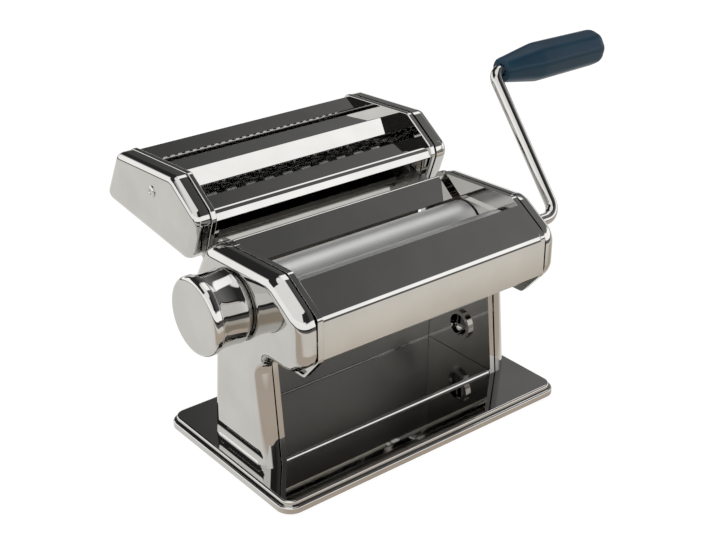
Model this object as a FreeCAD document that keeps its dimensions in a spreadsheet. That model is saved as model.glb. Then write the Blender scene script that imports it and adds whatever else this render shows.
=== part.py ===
"""Hand cranked pasta machine with a lift-off cutter head, in millimetres.

+X runs along the rollers towards the crank, -Y is the front with the guard,
+Y is the back with the cutter head, and +Z is up. The origin is the middle of
the base on the table. The two long sides of the machine mirror each other.
"""
import FreeCAD, Part
import math
import os
import re
import Sketcher

os.makedirs("parts", exist_ok=True)
doc = FreeCAD.newDocument("pasta_machine")

# Driving sizes: alias, value, meaning, and the datum that it is measured from
SIZES = [
    ("base_length", 19.8, "base along X", "2 * cover_x"),
    ("base_width", 117.0, "base along Y", ""),
    ("base_corner", 9.0, "base corner radius seen from above", ""),
    ("base_skirt_z", 2.5, "lower edge of the base", ""),
    ("base_step_z", 3.8, "top of the lower rim step", "base_skirt_z"),
    ("base_top_z", 2.6, "top face of the base", "base_step_z"),
    ("base_step_inset", 2.0, "inset of the upper rim step", ""),
    ("base_edge_round", 1.2, "rounding of both rim steps", ""),
    ("tray_wall", 1.2, "thickness of the pressed base", ""),
    ("foot_radius", 4.2, "rubber foot radius", ""),
    ("foot_inset", 9.5, "foot centre from each side of the base", ""),
    ("web_x", 75.7, "inner face of the side plates from the middle", ""),
    ("web_wall", 1.3, "thickness of a side plate and its flange", ""),
    ("flange_depth", 3.3, "depth of a side plate with its flange", ""),
    ("cover_gap", 1.0, "gap between flange and cover", ""),
    ("cover_x", 14.4, "outer face of the head covers", "web_x"),
    ("cover_wall", 1.2, "thickness of a cover", ""),
    ("cover_round", 4.4, "rounding round a cover's outer face", ""),
    ("web_corner_round", 4.0, "rounding of the plates' profile corners", ""),
    ("corner_round", 5.0, "rounding of the covers' profile corners", ""),
    ("front_y", -13.3, "front of the head", "front_axis_y - roller_radius"),
    ("fold_z", 38.5, "fold between guard front and slope", "web_low_z"),
    ("chin_z", 14.0, "lower end of the head's front", "web_low_z"),
    ("chin_y", 12.3, "lower end of the front chamfer", "front_y"),
    ("web_low_z", 64.1, "underside of the head at the side plates", "base_top_z"),
    ("cover_low_z", 4.6, "underside of the head at the covers", "web_low_z"),
    ("ridge_y", 24.5, "ridge of the head", "front_y"),
    ("ridge_z", 54.3, "ridge of the head", "web_low_z"),
    ("brow_y", -14.6, "rear end of the head's top", "back_y"),
    ("brow_z", 51.5, "rear end of the head's top", "web_low_z"),
    ("back_y", 41.0, "rear of the head", "rear_axis_y"),
    ("back_high_z", 26.0, "upper end of the head's rear", "web_low_z"),
    ("back_low_z", 15.0, "lower end of the head's rear", "web_low_z"),
    ("nape_y", -11.0, "lower end of the rear chamfer", "back_y"),
    ("leg_front_high", -18.8, "front of the leg under the head", ""),
    ("leg_front_low", -25.5, "front of the leg at the base", ""),
    ("leg_back_high", 21.0, "back of the leg under the head", ""),
    ("leg_back_low", 27.0, "back of the leg at the base", ""),
    ("plate_leg_back", 0.8, "back of the plates' legs", "slide_back_y"),
    ("cove_z", 6.5, "height of the cove round the foot of a leg", "base_top_z"),
    ("cove_radius", 8.0, "radius of that cove", ""),
    ("cove_depth", 1.6, "depth of that cove", ""),
    ("sheet_wall", 0.8, "thickness of the bent sheets", ""),
    ("guard_low_z", 0.7, "lower edge of the front guard", "chin_z"),
    ("guard_top_y", 19.1, "upper edge of the front guard", "front_y"),
    ("guard_top_z", 51.1, "upper edge of the front guard", "web_low_z"),
    ("feed_end_x", -3.1, "half length of the feed plate", "web_x"),
    ("feed_low_y", 2.3, "lower edge of the feed plate", "rear_axis_y + 0.5 * roller_radius"),
    ("feed_low_z", 2.3, "lower edge of the feed plate", "rear_axis_z + 0.75 * roller_radius"),
    ("feed_high_y", 13.5, "upper edge of the feed plate", "feed_low_y"),
    ("feed_high_z", 10.55, "upper edge of the feed plate", "feed_low_z"),
    ("guard_back_y", -0.4, "rear fold of the feed guard", "back_y"),
    ("guard_back_z", -0.4, "rear fold of the feed guard", "back_high_z"),
    ("guard_nape_z", 0.2, "lower fold of the feed guard", "back_low_z"),
    ("guard_tail_y", -8.4, "lower edge of the feed guard", "back_y"),
    ("guard_tail_z", 5.0, "lower edge of the feed guard", "web_low_z"),
    ("slide_play", 0.3, "gap from slide to side plates", ""),
    ("slide_back_y", 31.6, "upright back of the slide", ""),
    ("slide_top_z", 1.0, "upper edge of the slide", "web_low_z"),
    ("slide_bend", 4.0, "bend radius of the slide", ""),
    ("slide_lift", 1.2, "height of the slide's floor over the base", ""),
    ("slide_front_y", 0.9, "front lip of the slide", "leg_front_low"),
    ("roller_radius", 15.0, "smooth rollers", ""),
    ("roller_end_x", -3.1, "half length of the smooth rollers", "web_x"),
    ("front_axis_y", -1.0, "axis of the fixed roller", "rear_axis_y - 2 * roller_radius"),
    ("front_axis_z", 30.7, "axis of the fixed roller", "web_low_z"),
    ("rear_axis_y", 0.0, "axis of the adjustable roller", ""),
    ("rear_axis_z", 26.5, "axis of the adjustable roller", "web_low_z"),
    ("nip_close", 0.95, "closing travel of the adjustable roller", ""),
    ("nip_open", 1.85, "opening travel of the adjustable roller", ""),
    ("journal_radius", 6.0, "roller journals", ""),
    ("fit_gap", 0.06, "running clearance on a radius", ""),
    ("free_gap", 0.3, "free clearance between moving pieces", ""),
    ("bush_radius", 8.5, "roller bushes", ""),
    ("bush_depth", 4.6, "length of a roller bush", ""),
    ("bush_lip", 1.1, "bush inside its side plate", ""),
    ("gear_x", 4.9, "inner face of the roller gears", "web_x"),
    ("gear_width", 7.2, "width of the roller gears", ""),
    ("gear_tip", 1.95, "tip radius of the roller gears", "gear_pitch"),
    ("gear_root", -3.25, "root radius of the roller gears", "gear_pitch"),
    ("gear_teeth", 12.0, "teeth of a roller gear", ""),
    ("gear_tip_width", 1.7, "tooth width at the tip", ""),
    ("gear_root_width", 3.5, "tooth width at the root", ""),
    ("gear_seat", 1.0, "depth to which teeth grow out of their disc", ""),
    ("socket_radius", 0.1, "bore that takes the crank", "spigot_radius"),
    ("socket_depth", 27.0, "depth of the roller's crank bore", ""),
    ("journal_end_x", -0.7, "outer end of the driven journals", "cover_x"),
    ("rear_gear_end", 0.4, "outer end of the adjustable roller's journal", "gear_x + gear_width"),
    ("cheek_x", -2.3, "inner face of the cheek plates", "web_x"),
    ("cheek_front_y", 9.0, "front tip of a cheek plate", "front_axis_y"),
    ("cheek_back_y", 4.5, "rear end of a cheek plate's top", "rear_axis_y"),
    ("cheek_top_z", 15.9, "top of a cheek plate", "rear_axis_z"),
    ("cheek_low_y", 15.5, "lower corner of a cheek plate", "front_axis_y"),
    ("cheek_low_z", 0.5, "lower corner of a cheek plate", "rear_axis_z"),
    ("blade_gap", 0.7, "gap from scraper to roller", ""),
    ("blade_offset", 6.5, "scraper tip from the roller's middle", ""),
    ("blade_reach", 14.5, "width of a scraper along Y", ""),
    ("blade_drop", 7.0, "fall of a scraper", ""),
    ("blade_hem", 4.0, "flange along a scraper", ""),
    ("rod_radius", 3.0, "tie rods of the head", ""),
    ("rod_front_y", 12.3, "front tie rod", "front_y"),
    ("rod_front_z", 9.0, "front tie rod", "web_low_z"),
    ("rod_back_y", -8.0, "rear tie rod", "back_y"),
    ("rod_back_z", 14.0, "rear tie rod", "web_low_z"),
    ("crank_radius", 3.75, "crank rod", ""),
    ("crank_bend", 9.0, "bend radius of the crank rod", ""),
    ("crank_top_bend", 6.4, "bend radius below the grip", ""),
    ("crank_plane_x", 27.9, "plane of the crank arm", "cover_x"),
    ("crank_arm", 93.0, "axis to axis of the crank", ""),
    ("crank_tilt", 38.4, "arm from upright, towards the back", ""),
    ("spigot_radius", 4.0, "end of the crank in its socket", ""),
    ("spigot_depth", 25.0, "length of the crank's end in the socket", ""),
    ("spigot_stop", 3.0, "length of the spigot outside the cover", ""),
    ("grip_start_x", 6.6, "small end of the grip", "crank_plane_x"),
    ("grip_length", 82.0, "length of the grip", ""),
    ("grip_neck", 7.6, "radius of the grip's small end", ""),
    ("grip_belly", 12.4, "largest radius of the grip", ""),
    ("grip_tail", 11.4, "radius of the grip's big end", ""),
    ("grip_cone", 27.0, "length of the grip's cone", ""),
    ("grip_round", 4.0, "rounding of the grip's big end", ""),
    ("grip_lip", 1.0, "rounding of the grip's small end", ""),
    ("rivet_radius", 5.6, "rivet head that holds the grip", ""),
    ("rivet_depth", 1.8, "thickness of that rivet head", ""),
    ("rivet_recess", 2.4, "depth of the grip's recess for the rivet", ""),
    ("index_radius", 17.5, "index plate under the knob", ""),
    ("index_wall", 1.4, "thickness of the index plate", ""),
    ("index_circle", 14.0, "pitch radius of the index holes", ""),
    ("index_hole", 0.1, "radius of an index hole", "pin_radius"),
    ("index_count", 10.0, "index holes", ""),
    ("index_step", 18.9, "turn from one index hole to the next", ""),
    ("index_rest", 3.0, "index holes before the one at rest", ""),
    ("index_groove", 0.8, "depth of the groove that joins the holes", ""),
    ("index_track", 1.8, "half width of the ring groove through the holes", ""),
    ("pin_radius", 1.4, "index pin", ""),
    ("pin_turn", 38.0, "angle of the index pin, from the back upwards", ""),
    ("pin_reach", 0.5, "index pin into the groove", ""),
    ("pin_seat", 3.0, "depth of the index pin's hole in the knob", ""),
    ("spindle_radius", 7.0, "knob spindle", ""),
    ("spindle_flange", 9.0, "flange of the knob spindle", ""),
    ("spindle_foot", 2.0, "thickness of the spindle's flange", ""),
    ("spindle_start", 4.6, "inner end of the spindle from the middle", "web_x"),
    ("spindle_end", -2.8, "outer end of the spindle", "knob_end_x - knob_cap_wall"),
    ("retainer_wall", 1.5, "retaining ring on the spindle", ""),
    ("retainer_radius", 9.4, "radius of the retaining ring", ""),
    ("knob_start", 0.4, "inner face of the knob", "cover_x + index_wall"),
    ("knob_collar", 19.0, "inner end of the knob", ""),
    ("knob_neck", 7.7, "narrowest place of the knob from the middle", "knob_start"),
    ("knob_waist", 14.6, "narrowest part of the knob", ""),
    ("waist_round", 6.0, "rounding of the knob's waist", ""),
    ("knob_edge", 1.0, "rounding of the knob's edges", ""),
    ("knob_rim", 3.6, "disc of the knob", "knob_cap_radius"),
    ("knob_end_x", 22.1, "outer face of the knob from the middle", "knob_start"),
    ("knob_rim_x", 16.5, "start of the knob's disc", "knob_start"),
    ("knob_shoulder", 5.1, "shoulder the spring rests on", "knob_start"),
    ("knob_cavity", 0.8, "radius of the knob's cavity", "retainer_radius"),
    ("knob_cap_radius", 18.0, "disc let into the knob's face", ""),
    ("knob_cap_wall", 1.6, "thickness of that disc", ""),
    ("cut_cover_x", 13.7, "outer face of the cutter covers", "web_x"),
    ("cut_low_y", 3.3, "lowest point of the cutter head", "seat_near_y"),
    ("cut_low_z", -10.4, "lowest point of the cutter head", "seat_near_z"),
    ("cut_jaw_y", -3.0, "lower end of the cutter head's front", "seat_near_y"),
    ("cut_jaw_z", -4.7, "lower end of the cutter head's front", "seat_near_z"),
    ("cut_nose_y", -10.0, "nose of the cutter head", "seat_near_y"),
    ("cut_nose_z", 14.8, "nose of the cutter head", "seat_near_z"),
    ("cut_lip_y", -7.8, "top of the nose", "seat_near_y"),
    ("cut_lip_z", 20.4, "top of the nose", "seat_near_z"),
    ("cut_ridge_y", 13.3, "ridge of the cutter covers", "seat_near_y"),
    ("cut_ridge_z", 35.1, "ridge of the cutter covers", "seat_near_z"),
    ("cut_top_y", 73.3, "rear end of the cutter head's top", "seat_near_y"),
    ("cut_top_z", 31.8, "rear end of the cutter head's top", "seat_near_z"),
    ("cut_back_y", 87.8, "rear of the cutter head", "seat_near_y"),
    ("cut_back_z", 4.3, "rear of the cutter head", "seat_near_z"),
    ("cut_heel_y", 84.8, "lower rear corner of the cutter head", "seat_near_y"),
    ("cut_heel_z", -0.7, "lower rear corner of the cutter head", "seat_near_z"),
    ("cut_wide_y", 18.6, "middle of the wide cutting pair", "seat_near_y"),
    ("cut_wide_z", 6.8, "height of the wide cutting pair", "seat_near_z"),
    ("cut_fine_y", 56.5, "middle of the fine cutting pair", "seat_near_y"),
    ("cut_fine_z", 10.8, "height of the fine cutting pair", "seat_near_z"),
    ("cut_land", 9.5, "radius over the cutting lands", ""),
    ("cut_floor", -0.8, "radius between the lands", "cut_land - cut_mesh"),
    ("cut_end_x", -3.4, "half length of the cutting rollers", "web_x"),
    ("cut_mesh", 1.2, "depth the lands reach into each other", ""),
    ("cut_journal", 5.6, "journals of the cutting rollers", ""),
    ("cut_journal_end", -0.7, "outer end of the driven cutting rollers", "cut_cover_x"),
    ("wide_strip", 6.5, "width of the wide ribbon", ""),
    ("wide_lands", 11, "lands of the front wide roller", ""),
    ("fine_strip", 2.5, "width of the fine ribbon", ""),
    ("fine_lands", 27, "lands of the front fine roller", ""),
    ("strip_play", 0.2, "side clearance of a land in its groove", ""),
    ("cut_gear_x", 4.9, "inner face of the cutter gears", "web_x"),
    ("cut_gear_width", 6.0, "width of the cutter gears", ""),
    ("cut_gear_rise", 1.15, "tooth height above the pitch circle", ""),
    ("cut_gear_fall", 1.6, "tooth depth below the pitch circle", ""),
    ("cut_gear_teeth", 14.0, "teeth of a cutter gear", ""),
    ("cut_tip_width", 0.8, "tooth width at the tip", ""),
    ("cut_root_width", 1.9, "tooth width at the root", ""),
    ("cut_socket_depth", 14.0, "depth of the cutters' crank bores", ""),
    ("comb_near", 1.9, "inner face of a comb from its roller's middle", ""),
    ("comb_far", 4.0, "outer face of a comb from its roller's middle", "comb_near"),
    ("comb_low", 3.5, "underside of a comb below its roller's middle", "comb_shoulder"),
    ("comb_shoulder", 1.0, "top of the comb's bar below the roller's middle", "cut_land"),
    ("comb_tip", 0.4, "tips of the comb below the roller's middle", "cut_floor"),
    ("comb_play", 0.5, "gap from a comb's tooth to the lands", ""),
    ("seat_rod_radius", 2.0, "rods the cutter head rests with", ""),
    ("seat_near_y", 1.2, "front seat rod", "back_y"),
    ("seat_near_z", 44.2, "front seat rod", "web_low_z"),
    ("seat_far_y", 9.8, "rear seat rod", "seat_near_y"),
    ("seat_far_z", -7.0, "rear seat rod", "seat_near_z"),
    ("plate_foot_y", -1.7, "lower edge of the cutter's front plate", "seat_near_y"),
    ("plate_foot_z", -4.7, "lower edge of the cutter's front plate", "seat_near_z"),
    ("plate_head_y", -7.7, "upper edge of the cutter's front plate", "seat_near_y"),
    ("plate_head_z", 12.8, "upper edge of the cutter's front plate", "seat_near_z"),
    ("plate_step_z", 6.8, "level under which that plate is narrower", "seat_near_z"),
    ("plate_hem", 1.6, "hem along the front plate's lower edge", ""),
    ("hood_front_y", -8.9, "lower edge of the cutter's front panel", "seat_near_y"),
    ("hood_front_z", 13.8, "lower edge of the cutter's front panel", "seat_near_z"),
    ("hood_nose_y", -6.7, "fold of the cutter's front panel", "seat_near_y"),
    ("hood_nose_z", 19.0, "fold of the cutter's front panel", "seat_near_z"),
    ("slot_front_y", 7.8, "front edge of the wide feed slot", "seat_near_y"),
    ("slot_front_z", 21.0, "front edge of the wide feed slot", "seat_near_z"),
    ("slot_back_y", 22.0, "rear edge of the wide feed slot", "seat_near_y"),
    ("slot_back_z", 19.8, "rear edge of the wide feed slot", "seat_near_z"),
    ("slot_lip_y", 22.6, "lip of the middle panel", "seat_near_y"),
    ("slot_lip_z", 21.8, "lip of the middle panel", "seat_near_z"),
    ("middle_ridge_y", 33.3, "ridge of the middle panel", "seat_near_y"),
    ("middle_ridge_z", 28.0, "ridge of the middle panel", "seat_near_z"),
    ("middle_back_y", 53.8, "front edge of the fine feed slot", "seat_near_y"),
    ("middle_back_z", 26.2, "front edge of the fine feed slot", "seat_near_z"),
    ("rear_start_y", 59.0, "rear edge of the fine feed slot", "seat_near_y"),
    ("rear_start_z", 27.4, "rear edge of the fine feed slot", "seat_near_z"),
    ("rear_ridge_y", 72.3, "ridge of the rear panel", "seat_near_y"),
    ("rear_ridge_z", 30.7, "ridge of the rear panel", "seat_near_z"),
    ("rear_back_y", 86.3, "rear fold of the rear panel", "seat_near_y"),
    ("rear_back_z", 4.6, "rear fold of the rear panel", "seat_near_z"),
    ("rear_foot_y", 82.3, "lower edge of the rear panel", "seat_near_y"),
    ("rear_foot_z", -1.0, "lower edge of the rear panel", "seat_near_z"),
    ("cut_rod_radius", 2.5, "tie rods of the cutter head", ""),
    ("cut_rod_front_y", 37.5, "front tie rod of the cutter head", "seat_near_y"),
    ("cut_rod_front_z", -2.0, "front tie rod of the cutter head", "seat_near_z"),
    ("cut_rod_back_y", 78.8, "rear tie rod of the cutter head", "seat_near_y"),
    ("cut_rod_back_z", 6.8, "rear tie rod of the cutter head", "seat_near_z"),
    ("bracket_root_y", -15.0, "root of a seat bracket inside the head", "back_y"),
    ("bracket_root_z", 35.0, "upper corner of that root", "web_low_z"),
    ("bracket_low_z", 27.0, "underside of that root", "web_low_z"),
    ("bracket_wall", 2.0, "width of a bracket's prongs", ""),
    ("bracket_weld", 7.0, "length of a bracket's seat on the side plate", ""),
    ("screw_radius", 3.4, "screws of the cutter covers", ""),
    ("screw_shank", 2.0, "shanks of those screws", ""),
    ("screw_head", 1.0, "height of those screws' heads", ""),
    ("screw_y", 34.3, "place of those screws", "seat_near_y"),
    ("screw_z", 20.4, "place of those screws", "seat_near_z"),
    ("clamp_y", 2.2, "hole for the table clamp", ""),
    ("clamp_z", 22.6, "hole for the table clamp", "base_top_z"),
    ("clamp_radius", 7.0, "hole for the table clamp", ""),
    ("clamp_collar", 2.4, "outside of that hole's collar", "clamp_radius"),
    ("clamp_rise", 2.0, "height of that collar", ""),
]

sheet = doc.addObject("Spreadsheet::Sheet", "Sizes")
for row, (alias, number, meaning, datum) in enumerate(SIZES, 1):
    sheet.set(f"A{row}", alias)
    sheet.set(f"B{row}", str(number))
    sheet.setAlias(f"B{row}", alias)
    sheet.set(f"C{row}", meaning)
    sheet.set(f"D{row}", datum)
doc.recompute()

LEFT, RIGHT = -1, 1
SIDES = {"left": LEFT, "right": RIGHT}
nodes = []


DATUMS = {alias: datum for alias, _, _, datum in SIZES}
DERIVED = {
    "gear_pitch": "(sqrt((rear_axis_y - front_axis_y) ^ 2 + (rear_axis_z - front_axis_z) ^ 2) / 2)",
}


def cell(name):
    """A driving size as an expression: its cell, on top of the datum that it is measured from."""
    if name in DERIVED:
        return bind(DERIVED[name])
    if name not in DATUMS:
        return name
    return f"(Sizes.{name} + {bind(DATUMS[name])})" if DATUMS[name] else f"Sizes.{name}"


def bind(text):
    """Turn the names of the sizes in an expression into cells of the sheet."""
    return re.sub(r"[a-z_]\w*", lambda word: cell(word[0]), text)


def value(expression):
    """An expression on the sizes' names, worked out as a number."""
    return float(sheet.evalExpression(bind(expression)))


def node(thing, name):
    """Give a finished sub-part its name."""
    thing.Label = name
    nodes.append(thing)
    return thing


def plane(owner, role):
    """One of a body's own origin planes or axes."""
    return next(item for item in owner.Origin.OriginFeatures if item.Role == role)


def body(name):
    return doc.addObject("PartDesign::Body", f"{name}_body")


def sketch_on(owner, role, offset="0"):
    """A sketch on one of the body's planes, moved along that plane's normal."""
    made = owner.newObject("Sketcher::SketchObject", f"{owner.Name}_sketch")
    made.AttachmentSupport = [(plane(owner, role), "")]
    made.MapMode = "FlatFace"
    made.setExpression(".AttachmentOffset.Base.z", bind(offset))
    return made


def fix_point(made, geometry, end, across, up):
    """Hold one end of a line or arc at two expressions."""
    for kind, text in (("DistanceX", across), ("DistanceY", up)):
        place = made.addConstraint(Sketcher.Constraint(kind, -1, 1, geometry, end, value(text)))
        made.setExpression(f"Constraints[{place}]", bind(text))


def draw(made, points, closed=True):
    """Straight lines through points that are given as pairs of expressions."""
    spots = [FreeCAD.Vector(value(across), value(up), 0) for across, up in points]
    first = made.GeometryCount
    count = len(spots) if closed else len(spots) - 1
    for step in range(count):
        made.addGeometry(Part.LineSegment(spots[step], spots[(step + 1) % len(spots)]), False)
    for step in range(count if closed else count - 1):
        following = first + (step + 1) % count
        made.addConstraint(Sketcher.Constraint("Coincident", first + step, 2, following, 1))
    for step in range(count):
        fix_point(made, first + step, 1, *points[step])
    if not closed:
        fix_point(made, first + count - 1, 2, *points[-1])
    return made


def circle(made, across, up, radius):
    """A circle whose middle and radius are expressions."""
    middle = FreeCAD.Vector(value(across), value(up), 0)
    ring = made.addGeometry(Part.Circle(middle, FreeCAD.Vector(0, 0, 1), value(radius)), False)
    fix_point(made, ring, 3, across, up)
    place = made.addConstraint(Sketcher.Constraint("Radius", ring, value(radius)))
    made.setExpression(f"Constraints[{place}]", bind(radius))
    return made


def rounded_rectangle(made, across, along, radius):
    """A rectangle round the origin, given by its half sides and its corner radius."""
    reach, depth, corner = value(across), value(along), value(radius)
    up = FreeCAD.Vector(0, 0, 1)
    signs = ((1, 1), (-1, 1), (-1, -1), (1, -1))
    for turn, (right, back) in enumerate(signs):
        middle = FreeCAD.Vector(right * (reach - corner), back * (depth - corner), 0)
        start = turn * math.pi / 2
        made.addGeometry(Part.ArcOfCircle(Part.Circle(middle, up, corner), start, start + math.pi / 2))
    for turn in range(4):
        following = (turn + 1) % 4
        ends = made.Geometry[turn].EndPoint, made.Geometry[following].StartPoint
        line = made.addGeometry(Part.LineSegment(*ends))
        made.addConstraint(Sketcher.Constraint("Tangent", turn, 2, line, 1))
        made.addConstraint(Sketcher.Constraint("Tangent", following, 1, line, 2))
    for turn, (right, back) in enumerate(signs):
        if turn != 3:
            fix_point(made, turn, 3, f"{right} * ({across} - ({radius}))", f"{back} * ({along} - ({radius}))")
    place = made.addConstraint(Sketcher.Constraint("Radius", 0, corner))
    made.setExpression(f"Constraints[{place}]", bind(radius))
    return made


def pad(owner, made, length, backwards=False):
    grown = owner.newObject("PartDesign::Pad", f"{owner.Name}_pad")
    grown.Profile = made
    grown.setExpression("Length", bind(length))
    grown.Reversed = backwards
    doc.recompute()
    return grown


def pocket(owner, made, length, backwards=False):
    """Cut a sketch out of the body, and make sure that it cuts."""
    before = owner.Shape.Volume
    cut = owner.newObject("PartDesign::Pocket", f"{owner.Name}_pocket")
    cut.Profile = made
    cut.setExpression("Length", bind(length))
    cut.Reversed = backwards
    doc.recompute()
    if not cut.Shape.Volume < before:
        raise ValueError(f"{cut.Name} cuts nothing")
    return cut


def fillet(owner, picked, radius):
    """Round the edges of the body's last feature that a test picks."""
    base = owner.Tip
    names = [f"Edge{place}" for place, edge in enumerate(base.Shape.Edges, 1) if picked(edge)]
    if not names:
        raise ValueError(f"{owner.Name} has no edge to round")
    rounded = owner.newObject("PartDesign::Fillet", f"{owner.Name}_fillet")
    rounded.Base = (base, names)
    rounded.setExpression("Radius", bind(radius))
    doc.recompute()
    return rounded


def hollow(owner, picked, wall):
    """Leave a wall of the body, open at the faces that a test picks."""
    base = owner.Tip
    names = [f"Face{place}" for place, face in enumerate(base.Shape.Faces, 1) if picked(face)]
    shell = owner.newObject("PartDesign::Thickness", f"{owner.Name}_shell")
    shell.Base = (base, names)
    shell.setExpression("Value", bind(wall))
    shell.Reversed = True
    doc.recompute()
    return shell


def along_x(edge):
    ends = edge.Vertexes
    return len(ends) == 2 and abs(ends[0].Point.x - ends[1].Point.x) > 1 and abs(ends[0].Point.y - ends[1].Point.y) < 0.01


def near(first, second, within=0.01):
    return abs(first - second) < within


def flat_at(shape, level):
    """True for an edge or a face that lies flat at one height."""
    return near(shape.BoundBox.ZMin, level) and near(shape.BoundBox.ZMax, level)


def on_rim(edge, reach, depth):
    """True for an edge that touches the sides of a rectangle round the origin."""
    box = edge.BoundBox
    touches = (box.XMax - reach, box.XMin + reach, box.YMax - depth, box.YMin + depth)
    return any(near(gap, 0) for gap in touches)


def turned(name, profile, y="0", z="0"):
    """A turned piece: a closed profile of (x, radius) spun about a line along X."""
    made = body(name)
    half = draw(sketch_on(made, "XZ_Plane"), profile)
    spun = made.newObject("PartDesign::Revolution", f"{name}_turn")
    spun.Profile = half
    spun.ReferenceAxis = (half, ["H_Axis"])
    spun.Angle = 360
    made.setExpression(".Placement.Base.y", bind(y))
    made.setExpression(".Placement.Base.z", bind(z))
    doc.recompute()
    return made


def mirrored(side, text):
    """An X expression on the left or the right of the machine."""
    return text if side == RIGHT else f"-({text})"


def rod(name, y, z, radius, half_length):
    """A round bar along X, as a primitive."""
    bar = doc.addObject("Part::Cylinder", name)
    bar.setExpression("Radius", bind(radius))
    bar.setExpression("Height", bind(f"2 * ({half_length})"))
    bar.Placement = FreeCAD.Placement(FreeCAD.Vector(), FreeCAD.Rotation(FreeCAD.Vector(0, 1, 0), 90))
    bar.setExpression(".Placement.Base.x", bind(f"-({half_length})"))
    bar.setExpression(".Placement.Base.y", bind(y))
    bar.setExpression(".Placement.Base.z", bind(z))
    return bar


def group(name, members):
    """Several separate solids of one kind as one sub-part."""
    joined = doc.addObject("Part::Compound", f"{name}_group")
    joined.Links = members
    doc.recompute()
    return node(joined, name)


def bent_sheet(name, path, half_length, wall="sheet_wall", closed=False):
    """A sheet that follows a path of (y, z), its wall on the path's right-hand side."""
    line = doc.addObject("Sketcher::SketchObject", f"{name}_path")
    line.Placement = FreeCAD.Placement(FreeCAD.Vector(), FreeCAD.Rotation(FreeCAD.Vector(1, 1, 1), 120))
    line.setExpression(".Placement.Base.x", bind(f"-({half_length})"))
    draw(line, path, closed)
    strip = doc.addObject("Part::Offset2D", f"{name}_strip")
    strip.Source = line
    strip.Fill = True
    strip.Join = "Intersection"
    strip.Mode = "Skin"
    strip.setExpression("Value", bind(wall))
    doc.recompute()
    made = doc.addObject("Part::Extrusion", f"{name}_sheet")
    made.Base = strip
    made.DirMode = "Custom"
    made.Dir = FreeCAD.Vector(1, 0, 0)
    made.setExpression("LengthFwd", bind(f"2 * ({half_length})"))
    made.Solid = True
    doc.recompute()
    return made


# Base
def base_outline(owner, inset, level):
    """The base seen from above, set in by an inset, at one height."""
    across, along = f"base_length / 2 - ({inset})", f"base_width / 2 - ({inset})"
    return rounded_rectangle(sketch_on(owner, "XY_Plane", level), across, along, f"base_corner - ({inset})")


def make_base():
    tray = body("base_tray")
    pad(tray, base_outline(tray, "0", "base_skirt_z"), "base_step_z - base_skirt_z")
    pad(tray, base_outline(tray, "base_step_inset", "base_step_z"), "base_top_z - base_step_z")
    for level, inset in ((value("base_step_z"), 0), (value("base_top_z"), value("base_step_inset"))):
        reach = value("base_length") / 2 - inset
        depth = value("base_width") / 2 - inset
        fillet(tray, lambda edge: flat_at(edge, level) and on_rim(edge, reach, depth), "base_edge_round")
    inside = base_outline(tray, "base_step_inset + tray_wall", "base_skirt_z")
    pocket(tray, inside, "base_top_z - tray_wall - base_skirt_z", True)
    node(tray, "base_tray")
    feet = []
    for across in (LEFT, RIGHT):
        for along in (LEFT, RIGHT):
            foot = doc.addObject("Part::Cylinder", "foot")
            foot.setExpression("Radius", bind("foot_radius"))
            foot.setExpression("Height", bind("base_top_z - tray_wall"))
            foot.setExpression(".Placement.Base.x", bind(f"{across} * (base_length / 2 - foot_inset)"))
            foot.setExpression(".Placement.Base.y", bind(f"{along} * (base_width / 2 - foot_inset)"))
            feet.append(foot)
    group("rubber_feet", feet)


# Side plates and covers of the head
def head_profile(low, leg_back):
    """The head and its leg from the side, with the head's underside at one height."""
    return [
        ("leg_front_low", "base_top_z"), ("leg_front_high", low), ("chin_y", low), ("front_y", "chin_z"),
        ("front_y", "fold_z"), ("ridge_y", "ridge_z"), ("brow_y", "brow_z"), ("back_y", "back_high_z"),
        ("back_y", "back_low_z"), *leg_back,
    ]


def cutter_profile():
    """The cutter head from the side."""
    names = ("cut_low", "cut_jaw", "cut_nose", "cut_lip", "cut_ridge", "cut_top", "cut_back", "cut_heel")
    return [(f"{name}_y", f"{name}_z") for name in names]


def flanged_plate(name, side, profile, holes):
    """A pressed plate: a web with an outward flange round it, pierced by holes."""
    made = body(name)
    web = draw(sketch_on(made, "YZ_Plane", mirrored(side, "web_x")), profile)
    pad(made, web, "flange_depth", side == LEFT)
    base_level = value("base_top_z")
    fillet(made, lambda edge: along_x(edge) and edge.CenterOfMass.z > base_level + 1, "web_corner_round")
    rim = side * value("web_x + flange_depth")
    hollow(made, lambda face: near(face.CenterOfMass.x, rim), "web_wall")
    for y, z, radius, stretch in holes:
        cut = sketch_on(made, "YZ_Plane", mirrored(side, "web_x"))
        if stretch:
            slot(cut, y, z, radius, *stretch)
        else:
            circle(cut, y, z, radius)
        pocket(made, cut, "web_wall", side == RIGHT)
    return made


def slot(made, y, z, radius, closing, opening):
    """A slot along Y for a bush that travels both ways from its place at rest."""
    low, high = f"{y} - {closing}", f"{y} + {opening}"
    up = FreeCAD.Vector(0, 0, 1)
    left = FreeCAD.Vector(value(low), value(z), 0)
    right = FreeCAD.Vector(value(high), value(z), 0)
    reach = FreeCAD.Vector(0, value(radius), 0)
    made.addGeometry(Part.ArcOfCircle(Part.Circle(left, up, value(radius)), math.pi / 2, 3 * math.pi / 2))
    made.addGeometry(Part.LineSegment(left - reach, right - reach))
    made.addGeometry(Part.ArcOfCircle(Part.Circle(right, up, value(radius)), -math.pi / 2, math.pi / 2))
    made.addGeometry(Part.LineSegment(right + reach, left + reach))
    for arc, start, line, end in ((0, 2, 1, 1), (2, 1, 1, 2), (2, 2, 3, 1), (0, 1, 3, 2)):
        made.addConstraint(Sketcher.Constraint("Tangent", arc, start, line, end))
    fix_point(made, 0, 3, low, z)
    fix_point(made, 2, 3, high, z)
    place = made.addConstraint(Sketcher.Constraint("Radius", 0, value(radius)))
    made.setExpression(f"Constraints[{place}]", bind(radius))


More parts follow.
